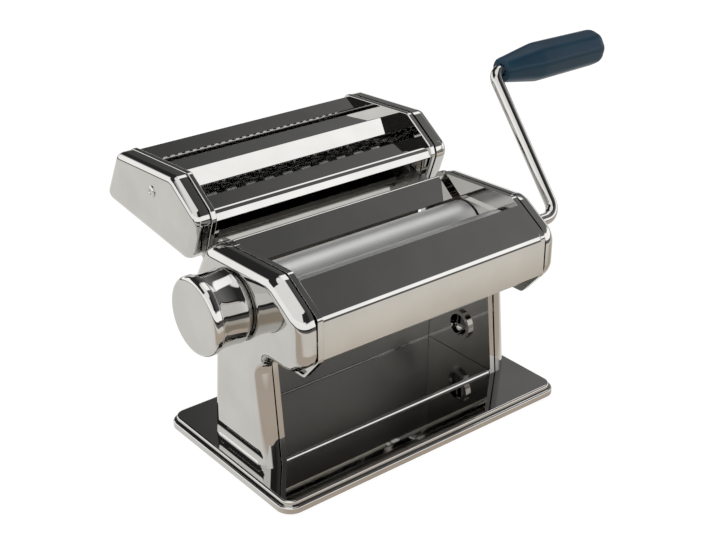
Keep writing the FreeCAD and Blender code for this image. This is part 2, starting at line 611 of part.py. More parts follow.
def end_cover(name, side, profile, outer, open_foot=False):
    """A deep-drawn cover: an outer face with a rounded edge and a rim that faces the plate."""
    made = body(name)
    start = "web_x + flange_depth + cover_gap"
    shape = draw(sketch_on(made, "YZ_Plane", mirrored(side, start)), profile)
    pad(made, shape, f"{outer} - ({start})", side == LEFT)
    base_level = value("base_top_z")
    fillet(made, lambda edge: along_x(edge) and edge.CenterOfMass.z > base_level + 1, "corner_round")
    face_x = side * value(outer)
    fillet(made, lambda edge: near(edge.BoundBox.XMin, face_x) and near(edge.BoundBox.XMax, face_x)
           and edge.CenterOfMass.z > base_level + 0.1, "cover_round")
    if open_foot:
        cove = sketch_on(made, "XZ_Plane", "-base_width / 2")
        middle = mirrored(side, f"{outer} + cove_radius - cove_depth")
        circle(cove, middle, "cove_z", "cove_radius")
        pocket(made, cove, "base_width", True)
    rim = side * value(start)
    hollow(made, lambda face: near(face.CenterOfMass.x, rim), "cover_wall")
    return made


def make_head_side(side, word):
    """One side of the head: the pressed plate and its bright cover."""
    holes = [
        ("front_axis_y", "front_axis_z", "bush_radius", None),
        ("rear_axis_y", "rear_axis_z", "bush_radius + free_gap", ("nip_close", "nip_open")),
    ]
    back = [("plate_leg_back", "web_low_z"), ("plate_leg_back", "base_top_z")]
    plate = flanged_plate(f"{word}_frame_plate", side, head_profile("web_low_z", back), holes)
    collar = sketch_on(plate, "YZ_Plane", mirrored(side, "web_x"))
    circle(collar, "clamp_y", "clamp_z", "clamp_collar")
    pad(plate, collar, "clamp_rise", side == RIGHT)
    hole = sketch_on(plate, "YZ_Plane", mirrored(side, "web_x - clamp_rise"))
    circle(hole, "clamp_y", "clamp_z", "clamp_radius")
    pocket(plate, hole, "web_wall + clamp_rise", side == RIGHT)
    node(plate, f"{word}_frame_plate")
    back = [("nape_y", "cover_low_z"), ("leg_back_high", "cover_low_z"), ("leg_back_low", "base_top_z")]
    cover = end_cover(f"{word}_side_cover", side, head_profile("cover_low_z", back), "cover_x", True)
    hole = sketch_on(cover, "YZ_Plane", mirrored(side, "cover_x"))
    if side == LEFT:
        circle(hole, "rear_axis_y", "rear_axis_z", "spindle_radius + free_gap")
    else:
        circle(hole, "front_axis_y", "front_axis_z", "journal_radius + free_gap")
    pocket(cover, hole, "cover_wall", side == LEFT)
    node(cover, f"{word}_side_cover")


# Sheets between the sides
def slide_sheet():
    """The upright back that bends forward into a raised chute, with a lip down to the base."""
    line = doc.addObject("Sketcher::SketchObject", "pasta_slide_path")
    line.Placement = FreeCAD.Placement(FreeCAD.Vector(), FreeCAD.Rotation(FreeCAD.Vector(1, 1, 1), 120))
    half = "web_x - slide_play"
    line.setExpression(".Placement.Base.x", bind(f"-({half})"))
    back, bend, lift = value("slide_back_y"), value("slide_bend"), value("slide_lift")
    floor, lip = value("base_top_z + slide_lift"), value("slide_front_y + sheet_wall")
    corner = FreeCAD.Vector(back - bend, floor + bend, 0)
    nose = FreeCAD.Vector(lip + lift, floor - lift, 0)
    top = FreeCAD.Vector(back, value("slide_top_z"), 0)
    up = FreeCAD.Vector(0, 0, 1)
    line.addGeometry(Part.LineSegment(top, FreeCAD.Vector(back, floor + bend, 0)))
    line.addGeometry(Part.ArcOfCircle(Part.Circle(corner, up, bend), 3 * math.pi / 2, 2 * math.pi))
    line.addGeometry(Part.LineSegment(FreeCAD.Vector(back - bend, floor, 0), FreeCAD.Vector(lip + lift, floor, 0)))
    line.addGeometry(Part.ArcOfCircle(Part.Circle(nose, up, lift), math.pi / 2, math.pi))
    line.addConstraint(Sketcher.Constraint("Vertical", 0))
    line.addConstraint(Sketcher.Constraint("Horizontal", 2))
    line.addConstraint(Sketcher.Constraint("Tangent", 0, 2, 1, 2))
    line.addConstraint(Sketcher.Constraint("Tangent", 1, 1, 2, 1))
    line.addConstraint(Sketcher.Constraint("Tangent", 2, 2, 3, 1))
    fix_point(line, 0, 1, "slide_back_y", "slide_top_z")
    fix_point(line, 1, 3, "slide_back_y - slide_bend", "base_top_z + slide_lift + slide_bend")
    fix_point(line, 3, 3, "slide_front_y + sheet_wall + slide_lift", "base_top_z")
    low = line.addConstraint(Sketcher.Constraint("DistanceY", -1, 1, 3, 2, value("base_top_z")))
    line.setExpression(f"Constraints[{low}]", bind("base_top_z"))
    strip = doc.addObject("Part::Offset2D", "pasta_slide_strip")
    strip.Source = line
    strip.Fill = True
    strip.Join = "Intersection"
    strip.Mode = "Skin"
    strip.setExpression("Value", bind("sheet_wall"))
    doc.recompute()
    made = doc.addObject("Part::Extrusion", "pasta_slide_sheet")
    made.Base = strip
    made.DirMode = "Custom"
    made.Dir = FreeCAD.Vector(1, 0, 0)
    made.setExpression("LengthFwd", bind(f"2 * ({half})"))
    made.Solid = True
    doc.recompute()
    return made


def make_head_sheets():
    guard = [("front_y", "guard_low_z"), ("front_y", "fold_z"), ("guard_top_y", "guard_top_z")]
    node(bent_sheet("front_guard", guard, "web_x"), "front_guard")
    feed = [
        ("feed_low_y", "feed_low_z"), ("feed_high_y", "feed_high_z"), ("guard_back_y", "guard_back_z"),
        ("guard_back_y", "guard_nape_z"), ("guard_tail_y", "guard_tail_z"),
    ]
    node(bent_sheet("feed_guard", feed, "feed_end_x"), "feed_guard")
    node(slide_sheet(), "pasta_slide")
    group("head_tie_rods", [
        rod("front_tie_rod", "rod_front_y", "rod_front_z", "rod_radius", "web_x"),
        rod("rear_tie_rod", "rod_back_y", "rod_back_z", "rod_radius", "web_x"),
    ])


# Rollers of the head
def bush(name, side, y, z):
    """A flanged bearing ring in a side plate."""
    inner, outer = mirrored(side, "web_x - bush_lip"), mirrored(side, "web_x - bush_lip + bush_depth")
    bore = "journal_radius + fit_gap"
    return turned(name, [(inner, bore), (inner, "bush_radius"), (outer, "bush_radius"), (outer, bore)], y, z)


def smooth_roller(name, y, z, right_end, socket):
    """A smooth roller with its journals, and a blind bore for the crank where it is driven."""
    left_end = "web_x - bush_lip + bush_depth"
    profile = [
        (f"-({left_end})", "0"), (f"-({left_end})", "journal_radius"), ("-roller_end_x", "journal_radius"),
        ("-roller_end_x", "roller_radius"), ("roller_end_x", "roller_radius"), ("roller_end_x", "journal_radius"),
        (right_end, "journal_radius"),
    ]
    if socket:
        floor = f"{right_end} - socket_depth"
        profile += [(right_end, "socket_radius"), (floor, "socket_radius"), (floor, "0")]
    else:
        profile += [(right_end, "0")]
    return node(turned(name, profile, y, z), name)


def gear(name, start, width, radii, tooth, teeth, y, z, angle):
    """A spur gear on its journal: a disc with one tooth repeated round it."""
    bore, root, tip = radii
    root_width, tip_width = tooth
    made = body(name)
    disc = sketch_on(made, "YZ_Plane", start)
    circle(disc, "0", "0", root)
    circle(disc, "0", "0", bore)
    pad(made, disc, width)
    seat = f"{root} - gear_seat"
    outline = [(seat, f"-{root_width} / 2"), (tip, f"-{tip_width} / 2"), (tip, f"{tip_width} / 2"),
               (seat, f"{root_width} / 2")]
    shape = draw(sketch_on(made, "YZ_Plane", start), outline)
    first = pad(made, shape, width)
    round_ = made.newObject("PartDesign::PolarPattern", f"{name}_teeth")
    round_.Originals = [first]
    round_.Axis = (shape, ["N_Axis"])
    round_.Angle = 360
    round_.setExpression("Occurrences", bind(teeth))
    made.Tip = round_
    made.Placement = FreeCAD.Placement(FreeCAD.Vector(), FreeCAD.Rotation(FreeCAD.Vector(1, 0, 0), 10))
    made.setExpression(".Placement.Base.y", bind(y))
    made.setExpression(".Placement.Base.z", bind(z))
    made.setExpression(".Placement.Rotation.Angle", bind(angle))
    doc.recompute()
    return node(made, name)


def make_rollers():
    front, rear = ("front_axis_y", "front_axis_z"), ("rear_axis_y", "rear_axis_z")
    smooth_roller("front_roller", *front, "journal_end_x", True)
    smooth_roller("rear_roller", *rear, "rear_gear_end", False)
    group("roller_bushes", [bush(f"fixed_bush_{side}", side, *front) for side in (RIGHT, LEFT)])
    group("adjuster_bushes", [bush(f"sliding_bush_{side}", side, *rear) for side in (RIGHT, LEFT)])
    line = "atan((rear_axis_z - front_axis_z) / (rear_axis_y - front_axis_y))"
    radii, tooth = ("journal_radius", "gear_root", "gear_tip"), ("gear_root_width", "gear_tip_width")
    gear("front_roller_gear", "gear_x", "gear_width", radii, tooth, "gear_teeth", *front, line)
    opposite = f"{line} + 180 deg + 180 deg / gear_teeth"
    gear("rear_roller_gear", "gear_x", "gear_width", radii, tooth, "gear_teeth", *rear, opposite)
    below = "sqrt((roller_radius + blade_gap) ^ 2 - blade_offset ^ 2)"
    front_tip = ("front_axis_y + blade_offset", f"front_axis_z - {below}")
    front_seat = ("front_axis_y + blade_offset - blade_reach", f"front_axis_z - {below} - blade_drop")
    rear_tip = ("rear_axis_y - blade_offset", f"rear_axis_z - {below}")
    rear_seat = ("rear_axis_y - blade_offset + blade_reach", f"rear_axis_z - {below} - blade_drop")
    front_hem, rear_hem = ((seat[0], f"{seat[1]} - blade_hem") for seat in (front_seat, rear_seat))
    group("roller_scrapers", [
        bent_sheet("front_scraper", [front_hem, front_seat, front_tip], "web_x"),
        bent_sheet("rear_scraper", [rear_tip, rear_seat, rear_hem], "web_x"),
    ])
    cheeks = []
    for side in (LEFT, RIGHT):
        cheek = body("roller_cheek")
        corners = [("cheek_front_y", "cheek_top_z"), ("cheek_low_y", "cheek_low_z"), ("cheek_back_y", "cheek_top_z")]
        shape = draw(sketch_on(cheek, "YZ_Plane", mirrored(side, "cheek_x")), corners)
        pad(cheek, shape, "web_x - cheek_x", side == LEFT)
        cheeks.append(cheek)
    group("roller_cheeks", cheeks)


# Crank
def make_crank():
    """The rod runs out along X, up the arm and out again through the grip."""
    crank = body("crank_rod")
    start = "cover_x + spigot_stop"
    spigot = sketch_on(crank, "YZ_Plane", "journal_end_x - spigot_depth")
    circle(spigot, "0", "0", "spigot_radius")
    pad(crank, spigot, f"{start} - (journal_end_x - spigot_depth)")
    spine = sketch_on(crank, "XZ_Plane")
    elbow, top, arm, plane_x = value("crank_bend"), value("crank_top_bend"), value("crank_arm"), value("crank_plane_x")
    end = "grip_start_x + grip_length - rivet_recess + free_gap"
    up = FreeCAD.Vector(0, 0, 1)
    spots = [FreeCAD.Vector(*spot, 0) for spot in (
        (value(start), 0), (plane_x - elbow, 0), (plane_x, elbow), (plane_x, arm - top), (plane_x + top, arm),
        (value(end), arm))]
    spine.addGeometry(Part.LineSegment(spots[0], spots[1]))
    first = Part.Circle(FreeCAD.Vector(plane_x - elbow, elbow, 0), up, elbow)
    spine.addGeometry(Part.ArcOfCircle(first, -math.pi / 2, 0))
    spine.addGeometry(Part.LineSegment(spots[2], spots[3]))
    second = Part.Circle(FreeCAD.Vector(plane_x + top, arm - top, 0), up, top)
    spine.addGeometry(Part.ArcOfCircle(second, math.pi / 2, math.pi))
    spine.addGeometry(Part.LineSegment(spots[4], spots[5]))
    for geometry, end_first, following, end_second in ((0, 2, 1, 1), (1, 2, 2, 1), (2, 2, 3, 2), (3, 1, 4, 1)):
        spine.addConstraint(Sketcher.Constraint("Tangent", geometry, end_first, following, end_second))
    fix_point(spine, 0, 1, start, "0")
    fix_point(spine, 1, 3, "crank_plane_x - crank_bend", "crank_bend")
    fix_point(spine, 3, 3, "crank_plane_x + crank_top_bend", "crank_arm - crank_top_bend")
    fix_point(spine, 4, 2, end, "crank_arm")
    section = circle(sketch_on(crank, "YZ_Plane", start), "0", "0", "crank_radius")
    doc.recompute()
    pipe = crank.newObject("PartDesign::AdditivePipe", "crank_pipe")
    pipe.Profile = section
    pipe.Spine = spine
    crank.Placement = FreeCAD.Placement(FreeCAD.Vector(), FreeCAD.Rotation(FreeCAD.Vector(-1, 0, 0), 10))
    crank.setExpression(".Placement.Base.y", bind("front_axis_y"))
    crank.setExpression(".Placement.Base.z", bind("front_axis_z"))
    crank.setExpression(".Placement.Rotation.Angle", bind("crank_tilt * 1 deg"))
    doc.recompute()
    node(crank, "crank_rod")
    axis = "front_axis_y + crank_arm * sin(crank_tilt)", "front_axis_z + crank_arm * cos(crank_tilt)"
    rivet = turned("grip_rivet", [
        (end, "0"), (end, "rivet_radius"), (f"{end} + rivet_depth", "rivet_radius"), (f"{end} + rivet_depth", "0"),
    ], *axis)
    node(rivet, "grip_rivet")
    tail, floor = "grip_start_x + grip_length", "grip_start_x + grip_length - rivet_recess"
    bore, recess = "crank_radius + fit_gap", "rivet_radius + free_gap"
    grip = turned("crank_grip", [
        ("grip_start_x", bore), ("grip_start_x", "grip_neck"), ("grip_start_x + grip_cone", "grip_belly"),
        (tail, "grip_tail"), (tail, recess), (floor, recess), (floor, bore),
    ], *axis)
    for edge_radius, rounding in (("grip_tail", "grip_round"), ("grip_neck", "grip_lip")):
        fillet(grip, lambda edge: rim_of(edge, value(edge_radius)), rounding)
    node(grip, "crank_grip")


# Knob
def rim_of(edge, radius):
    """True for a full circle of one radius."""
    return len(edge.Vertexes) == 1 and near(edge.Length, 2 * math.pi * radius, 0.05)


def make_knob():
    axis = "rear_axis_y", "rear_axis_z"
    plate = body("index_plate")
    face = "-(cover_x + index_wall)"
    ring = sketch_on(plate, "YZ_Plane", face)
    circle(ring, "0", "0", "index_radius")
    circle(ring, "0", "0", "spindle_radius + fit_gap")
    pad(plate, ring, "index_wall")
    groove = sketch_on(plate, "YZ_Plane", face)
    circle(groove, "0", "0", "index_circle + index_track")
    circle(groove, "0", "0", "index_circle - index_track")
    pocket(plate, groove, "index_groove", True)
    hole = sketch_on(plate, "YZ_Plane", face)
    start = "(pin_turn - index_rest * index_step)"
    circle(hole, f"index_circle * cos{start}", f"index_circle * sin{start}", "index_hole")
    first = pocket(plate, hole, "index_wall", True)
    row = plate.newObject("PartDesign::PolarPattern", "index_holes")
    row.Originals = [first]
    row.Axis = (hole, ["N_Axis"])
    row.setExpression("Angle", bind("index_step * (index_count - 1)"))
    row.setExpression("Occurrences", bind("index_count"))
    plate.Tip = row
    plate.setExpression(".Placement.Base.y", bind(axis[0]))
    plate.setExpression(".Placement.Base.z", bind(axis[1]))
    doc.recompute()
    node(plate, "index_plate")
    shank = "spindle_start + spindle_foot"
    spindle = turned("knob_spindle", [
        ("-spindle_start", "0"), ("-spindle_start", "spindle_flange"), (f"-({shank})", "spindle_flange"),
        (f"-({shank})", "spindle_radius"), ("-spindle_end", "spindle_radius"), ("-spindle_end", "0"),
    ], *axis)
    node(spindle, "knob_spindle")
    inner = "-(spindle_end - retainer_wall)"
    retainer = turned("spindle_retainer", [
        (inner, "spindle_radius"), (inner, "retainer_radius"), ("-spindle_end", "retainer_radius"),
        ("-spindle_end", "spindle_radius"),
    ], *axis)
    node(retainer, "spindle_retainer")
    bore, floor = "spindle_radius + fit_gap", "-(knob_end_x - knob_cap_wall)"
    knob = turned("knob_body", [
        ("-knob_start", bore), ("-knob_start", "knob_collar"), ("-knob_neck", "knob_waist"),
        ("-knob_rim_x", "knob_rim"), ("-knob_end_x", "knob_rim"), ("-knob_end_x", "knob_cap_radius"),
        (floor, "knob_cap_radius"), (floor, "knob_cavity"), ("-knob_shoulder", "knob_cavity"),
        ("-knob_shoulder", bore),
    ], *axis)
    fillet(knob, lambda edge: rim_of(edge, value("knob_waist")), "waist_round")
    fillet(knob, lambda edge: rim_of(edge, value("knob_rim")), "knob_edge")
    pin_y, pin_z = "index_circle * cos(pin_turn)", "index_circle * sin(pin_turn)"
    seat = circle(sketch_on(knob, "YZ_Plane", "-knob_start"), pin_y, pin_z, "pin_radius")
    pocket(knob, seat, "pin_seat")
    node(knob, "knob_body")
    node(turned("knob_cap", [
        (floor, "0"), (floor, "knob_cap_radius"), ("-knob_end_x", "knob_cap_radius"), ("-knob_end_x", "0"),
    ], *axis), "knob_cap")
    tip = "cover_x + index_wall - pin_reach"
    pin = doc.addObject("Part::Cylinder", "index_pin_bar")
    pin.setExpression("Radius", bind("pin_radius"))
    pin.setExpression("Height", bind(f"knob_start + pin_seat - ({tip})"))
    pin.Placement = FreeCAD.Placement(FreeCAD.Vector(), FreeCAD.Rotation(FreeCAD.Vector(0, 1, 0), -90))
    pin.setExpression(".Placement.Base.x", bind(f"-({tip})"))
    pin.setExpression(".Placement.Base.y", bind(f"{axis[0]} + {pin_y}"))
    pin.setExpression(".Placement.Base.z", bind(f"{axis[1]} + {pin_z}"))
    node(pin, "index_pin")


# Cutter head
def pair(kind):
    """The front and rear axes of a cutting pair as (y, z)."""
    half = "(cut_land - cut_mesh / 2)"
    return (f"cut_{kind}_y - {half}", f"cut_{kind}_z"), (f"cut_{kind}_y + {half}", f"cut_{kind}_z")


def cutting_roller(kind, place, y, z):
    """A journalled core with a row of square lands, each facing a groove of its partner."""
    name = f"{kind}_cutter_{place}"
    left_end, right_end = "web_x + flange_depth", "cut_gear_x + cut_gear_width"
    profile = [
        (f"-({left_end})", "0"), (f"-({left_end})", "cut_journal"), ("-cut_end_x", "cut_journal"),
        ("-cut_end_x", "cut_floor"), ("cut_end_x", "cut_floor"), ("cut_end_x", "cut_journal"),
    ]
    lands = f"{kind}_lands"
    if place == "front":
        bottom = "cut_journal_end - cut_socket_depth"
        profile += [("cut_journal_end", "cut_journal"), ("cut_journal_end", "socket_radius"),
                    (bottom, "socket_radius"), (bottom, "0")]
    else:
        profile += [(right_end, "cut_journal"), (right_end, "0")]
        lands = f"({lands} - 1)"
    made = turned(name, profile, y, z)
    width, pitch = f"{kind}_strip - strip_play", f"2 * {kind}_strip"
    disc = sketch_on(made, "YZ_Plane", f"-({lands} - 1) / 2 * {pitch} - ({width}) / 2")
    circle(disc, "0", "0", "cut_land")
    first = pad(made, disc, width)
    row = made.newObject("PartDesign::LinearPattern", f"{name}_lands")
    row.Originals = [first]
    row.Direction = (disc, ["N_Axis"])
    row.setExpression("Length", bind(f"({lands} - 1) * {pitch}"))
    row.setExpression("Occurrences", bind(lands))
    made.Tip = row
    doc.recompute()
    return node(made, name)


def comb(kind, place, y, z, half_length):
    """A bar under a cutting roller whose teeth reach up between the lands."""
    back = -1 if place == "front" else 1
    made = body(f"{kind}_{place}_comb")
    near_y, far_y = f"{y} + {back} * comb_near", f"{y} + {back} * comb_far"
    low, shoulder = f"{z} - comb_low", f"{z} - comb_shoulder"
    section = [(near_y, low), (far_y, low), (far_y, shoulder), (near_y, shoulder)]
    bar = draw(sketch_on(made, "YZ_Plane", f"-({half_length})"), section)
    pad(made, bar, f"2 * ({half_length})")
    gaps = f"({kind}_lands - 1)" if place == "front" else f"({kind}_lands - 2)"
    width, pitch = f"{kind}_strip + strip_play - 2 * comb_play", f"2 * {kind}_strip"
    tip = f"{z} - comb_tip"
    tooth = [(near_y, shoulder), (far_y, shoulder), (far_y, tip), (near_y, tip)]
    shape = draw(sketch_on(made, "YZ_Plane", f"-({gaps} - 1) / 2 * {pitch} - ({width}) / 2"), tooth)
    first = pad(made, shape, width)
    row = made.newObject("PartDesign::LinearPattern", f"{made.Name}_teeth")
    row.Originals = [first]
    row.Direction = (shape, ["N_Axis"])
    row.setExpression("Length", bind(f"({gaps} - 1) * {pitch}"))
    row.setExpression("Occurrences", bind(gaps))
    made.Tip = row
    doc.recompute()
    return made


def make_cutter_sides():
    screws = []
    for side, word in ((LEFT, "left"), (RIGHT, "right")):
        axes = pair("wide") + pair("fine")
        holes = [(y, z, "cut_journal + fit_gap", None) for y, z in axes]
        node(flanged_plate(f"cutter_{word}_plate", side, cutter_profile(), holes), f"cutter_{word}_plate")
        cover = end_cover(f"cutter_{word}_cover", side, cutter_profile(), "cut_cover_x")
        opened = [("screw_y", "screw_z", "screw_shank")]
        if side == RIGHT:
            opened += [(*pair("wide")[0], "cut_journal + free_gap"), (*pair("fine")[0], "cut_journal + free_gap")]
        for y, z, radius in opened:
            hole = circle(sketch_on(cover, "YZ_Plane", mirrored(side, "cut_cover_x")), y, z, radius)
            pocket(cover, hole, "cover_wall", side == LEFT)
        node(cover, f"cutter_{word}_cover")
        foot, face, top = (mirrored(side, text) for text in (
            "web_x + web_wall", "cut_cover_x", "cut_cover_x + screw_head"))
        screws.append(turned("cover_screw", [
            (foot, "0"), (foot, "screw_shank"), (face, "screw_shank"), (face, "screw_radius"),
            (top, "screw_radius"), (top, "0"),
        ], "screw_y", "screw_z"))
    group("cutter_cover_screws", screws)


def make_cutter_sheets():
    front = [("hood_front_y", "hood_front_z"), ("hood_nose_y", "hood_nose_z"), ("slot_front_y", "slot_front_z")]
    node(bent_sheet("cutter_front_panel", front, "web_x"), "cutter_front_panel")
    middle = [("slot_back_y", "slot_back_z"), ("slot_lip_y", "slot_lip_z"), ("middle_ridge_y", "middle_ridge_z"),
              ("middle_back_y", "middle_back_z")]
    node(bent_sheet("cutter_middle_panel", middle, "web_x"), "cutter_middle_panel")
    rear = [("rear_start_y", "rear_start_z"), ("rear_ridge_y", "rear_ridge_z"), ("rear_back_y", "rear_back_z"),
            ("rear_foot_y", "rear_foot_z")]
    node(bent_sheet("cutter_rear_panel", rear, "web_x"), "cutter_rear_panel")
    hemmed = [("plate_foot_y + plate_hem", "plate_foot_z"), ("plate_foot_y", "plate_foot_z"),
              ("plate_head_y", "plate_head_z")]
    plate = bent_sheet("cutter_front_plate", hemmed, "web_x")
    for side in (LEFT, RIGHT):
        corner = doc.addObject("Part::Box", "plate_corner")
        corner.setExpression("Length", bind("web_x - cut_end_x"))
        corner.setExpression("Width", bind("2 * (plate_foot_y - plate_head_y)"))
        corner.setExpression("Height", bind("plate_step_z - plate_foot_z + sheet_wall"))
        start = "cut_end_x" if side == RIGHT else "-web_x"
        corner.setExpression(".Placement.Base.x", bind(start))
        corner.setExpression(".Placement.Base.y", bind("plate_head_y"))
        corner.setExpression(".Placement.Base.z", bind("plate_foot_z - sheet_wall"))
        cut = doc.addObject("Part::Cut", "stepped_plate")
        cut.Base = plate
        cut.Tool = corner
        doc.recompute()
        plate = cut
    node(plate, "cutter_front_plate")
    group("cutter_tie_rods", [
        rod("cutter_front_rod", "cut_rod_front_y", "cut_rod_front_z", "cut_rod_radius", "web_x"),
        rod("cutter_rear_rod", "cut_rod_back_y", "cut_rod_back_z", "cut_rod_radius", "web_x"),
    ])
    group("cutter_seat_rods", [
        rod("near_seat_rod", "seat_near_y", "seat_near_z", "seat_rod_radius", "web_x"),
        rod("far_seat_rod", "seat_far_y", "seat_far_z", "seat_rod_radius", "web_x"),
    ])


def make_brackets():
    """Notched brackets behind the head in which the cutter head's rods rest."""
    half = "(seat_rod_radius + free_gap)"
    near_left, near_right = f"seat_near_y - {half}", f"seat_near_y + {half}"
    far_left, far_right = f"seat_far_y - {half}", f"seat_far_y + {half}"
    outline = [
        ("bracket_root_y", "bracket_low_z"), ("bracket_root_y", "bracket_root_z"),
        (f"{near_left} - bracket_wall", "seat_near_z + seat_rod_radius"), (near_left, "seat_near_z + seat_rod_radius"),
        (near_left, f"seat_near_z - {half}"), (near_right, f"seat_near_z - {half}"), (near_right, "seat_near_z"),
        (f"{near_right} + bracket_wall", "seat_near_z"), (far_left, "seat_far_z + seat_rod_radius"),
        (far_left, f"seat_far_z - {half}"), (far_right, f"seat_far_z - {half}"), (far_right, "seat_far_z"),
        (f"{far_right} + bracket_wall", "seat_far_z"),
        (f"{far_right} + bracket_wall", f"seat_far_z - {half} - bracket_wall"), ("back_y", "bracket_low_z"),
    ]
    brackets = []
    for side in (LEFT, RIGHT):
        bracket = body("seat_bracket")
        shape = draw(sketch_on(bracket, "YZ_Plane", mirrored(side, "feed_end_x")), outline)
        pad(bracket, shape, "web_x - free_gap - feed_end_x", side == LEFT)
        weld_y = "bracket_root_y + bracket_weld"
        weld = [("bracket_root_y", "bracket_low_z"), ("bracket_root_y", "bracket_root_z"),
                (weld_y, "bracket_root_z"), (weld_y, "bracket_low_z")]
        boss = draw(sketch_on(bracket, "YZ_Plane", mirrored(side, "web_x - free_gap")), weld)
        pad(bracket, boss, "free_gap", side == LEFT)
        brackets.append(bracket)
    group("seat_brackets", brackets)


def make_cutters():
    radii = "cut_journal", "(cut_land - cut_mesh / 2 - cut_gear_fall)", "(cut_land - cut_mesh / 2 + cut_gear_rise)"
    tooth = "cut_root_width", "cut_tip_width"
    for kind in ("wide", "fine"):
        combs = []
        for place, (y, z) in zip(("front", "rear"), pair(kind)):
            cutting_roller(kind, place, y, z)
            angle = "0 deg" if place == "front" else "180 deg + 180 deg / cut_gear_teeth"
            gear(f"{kind}_{place}_gear", "cut_gear_x", "cut_gear_width", radii, tooth, "cut_gear_teeth", y, z, angle)
            narrow = kind == "wide" and place == "front"
            combs.append(comb(kind, place, y, z, "cut_end_x" if narrow else "web_x"))
        group(f"{kind}_combs", combs)


make_base()
for word, side in SIDES.items():
    make_head_side(side, word)
make_head_sheets()
make_brackets()
make_rollers()
make_crank()
make_knob()
make_cutter_sides()
make_cutter_sheets()
make_cutters()
doc.recompute()

# Every feature has to be sound before anything is written
for item in doc.Objects:
    if "Invalid" in item.State or "Error" in item.State:
        raise ValueError(f"{item.Label} failed: {item.getStatusString()}")
for item in nodes:
    if item.Shape.isNull() or not item.Shape.isValid():
        raise ValueError(f"{item.Label} has no sound shape")
for item in nodes:
    item.Shape.exportStep(f"parts/{item.Label}.step")
print(f"{len(nodes)} sub-parts written")
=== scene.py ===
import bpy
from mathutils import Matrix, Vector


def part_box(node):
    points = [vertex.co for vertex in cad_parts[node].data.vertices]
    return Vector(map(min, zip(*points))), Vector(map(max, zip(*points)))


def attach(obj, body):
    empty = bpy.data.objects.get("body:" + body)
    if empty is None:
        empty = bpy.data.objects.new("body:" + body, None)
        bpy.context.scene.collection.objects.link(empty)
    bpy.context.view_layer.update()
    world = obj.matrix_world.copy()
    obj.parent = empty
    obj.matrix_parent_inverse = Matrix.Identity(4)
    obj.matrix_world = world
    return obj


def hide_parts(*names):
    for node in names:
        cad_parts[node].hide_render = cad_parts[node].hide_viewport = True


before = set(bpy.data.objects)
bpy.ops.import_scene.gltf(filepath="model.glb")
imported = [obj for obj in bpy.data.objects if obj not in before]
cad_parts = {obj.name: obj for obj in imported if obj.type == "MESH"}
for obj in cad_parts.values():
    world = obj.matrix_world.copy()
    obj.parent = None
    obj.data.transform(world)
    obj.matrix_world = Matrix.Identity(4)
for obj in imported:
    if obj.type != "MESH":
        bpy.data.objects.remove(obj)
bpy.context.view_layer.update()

import math

import bmesh
import bpy
from mathutils import Matrix, Vector

bl_info = {
    "name": "Pasta machine",
    "version": (1, 0, 0),
    "blender": (4, 5, 0),
    "location": "3D View > Sidebar > Pasta machine",
    "description": "Builds the shown pieces and finishes of a hand cranked pasta machine",
    "category": "Add Mesh",
}

MM = 0.001
LEFT, RIGHT = -1, 1
SIDE_WORDS = {"left": LEFT, "right": RIGHT}

# Lengths are in millimetres until a piece is put in the scene, and profiles from the side are (y, z)
LEG_FOOT_FRONT, LEG_FOOT_BACK, BASE_TOP = -25.5, 27.0, 8.9


def head_outline(low):
    """The head and its leg, with the head's underside at one height."""
    return [
        (LEG_FOOT_FRONT, BASE_TOP), (-18.8, low), (-47.0, low), (-59.3, 87.0), (-59.3, 111.5),
        (-34.8, 127.3), (26.4, 124.5), (41.0, 99.0), (41.0, 88.0), (30.0, low), (21.0, low),
        (LEG_FOOT_BACK, BASE_TOP),
    ]


CUTTER_OUTLINE = [
    (45.5, 106.8), (39.2, 112.5), (32.2, 132.0), (34.4, 137.6), (55.5, 152.3), (115.5, 149.0),
    (130.0, 121.5), (127.0, 116.5),
]
# Axes of the smooth and the cutting rollers
FRONT_AXIS, REAR_AXIS = (-31.0, 103.7), (0.0, 99.5)
WIDE_AXES = (51.9, 124.0), (69.7, 124.0)
FINE_AXES = (89.8, 128.0), (107.6, 128.0)
CRANK_ARM = 93.0
CRANK_TILT = math.radians(38.4)
GRIP_TURN = math.radians(-8.0)
KNOB_HOLE, CRANK_HOLE, SOCKET_HOLE = 7.3, 6.3, 5.9
SHEET_WALL, COVER_WALL = 0.8, 1.2
# How far the faces of the plates and covers lie from the middle
WEB_X, FLANGE_X, COVER_START, COVER_X, CUTTER_COVER_X = 75.7, 79.0, 80.0, 90.1, 89.4


# Shader maths
class Wire:
    """A value in a material that can be used in sums and products."""

    def __init__(self, shader, socket):
        self.shader, self.socket = shader, socket

    def beside(self, output):
        """Another output of the same node."""
        return Wire(self.shader, self.socket.node.outputs[output])

    def maths(self, operation, first, second):
        """A Math node on two values."""
        return self.shader.node("ShaderNodeMath", {"operation": operation}, {0: first, 1: second})

    def __add__(self, other):
        return self.maths("ADD", self, other)

    def __sub__(self, other):
        return self.maths("SUBTRACT", self, other)

    def __rsub__(self, other):
        return self.maths("SUBTRACT", other, self)

    def __mul__(self, other):
        return self.maths("MULTIPLY", self, other)

    __radd__, __rmul__ = __add__, __mul__


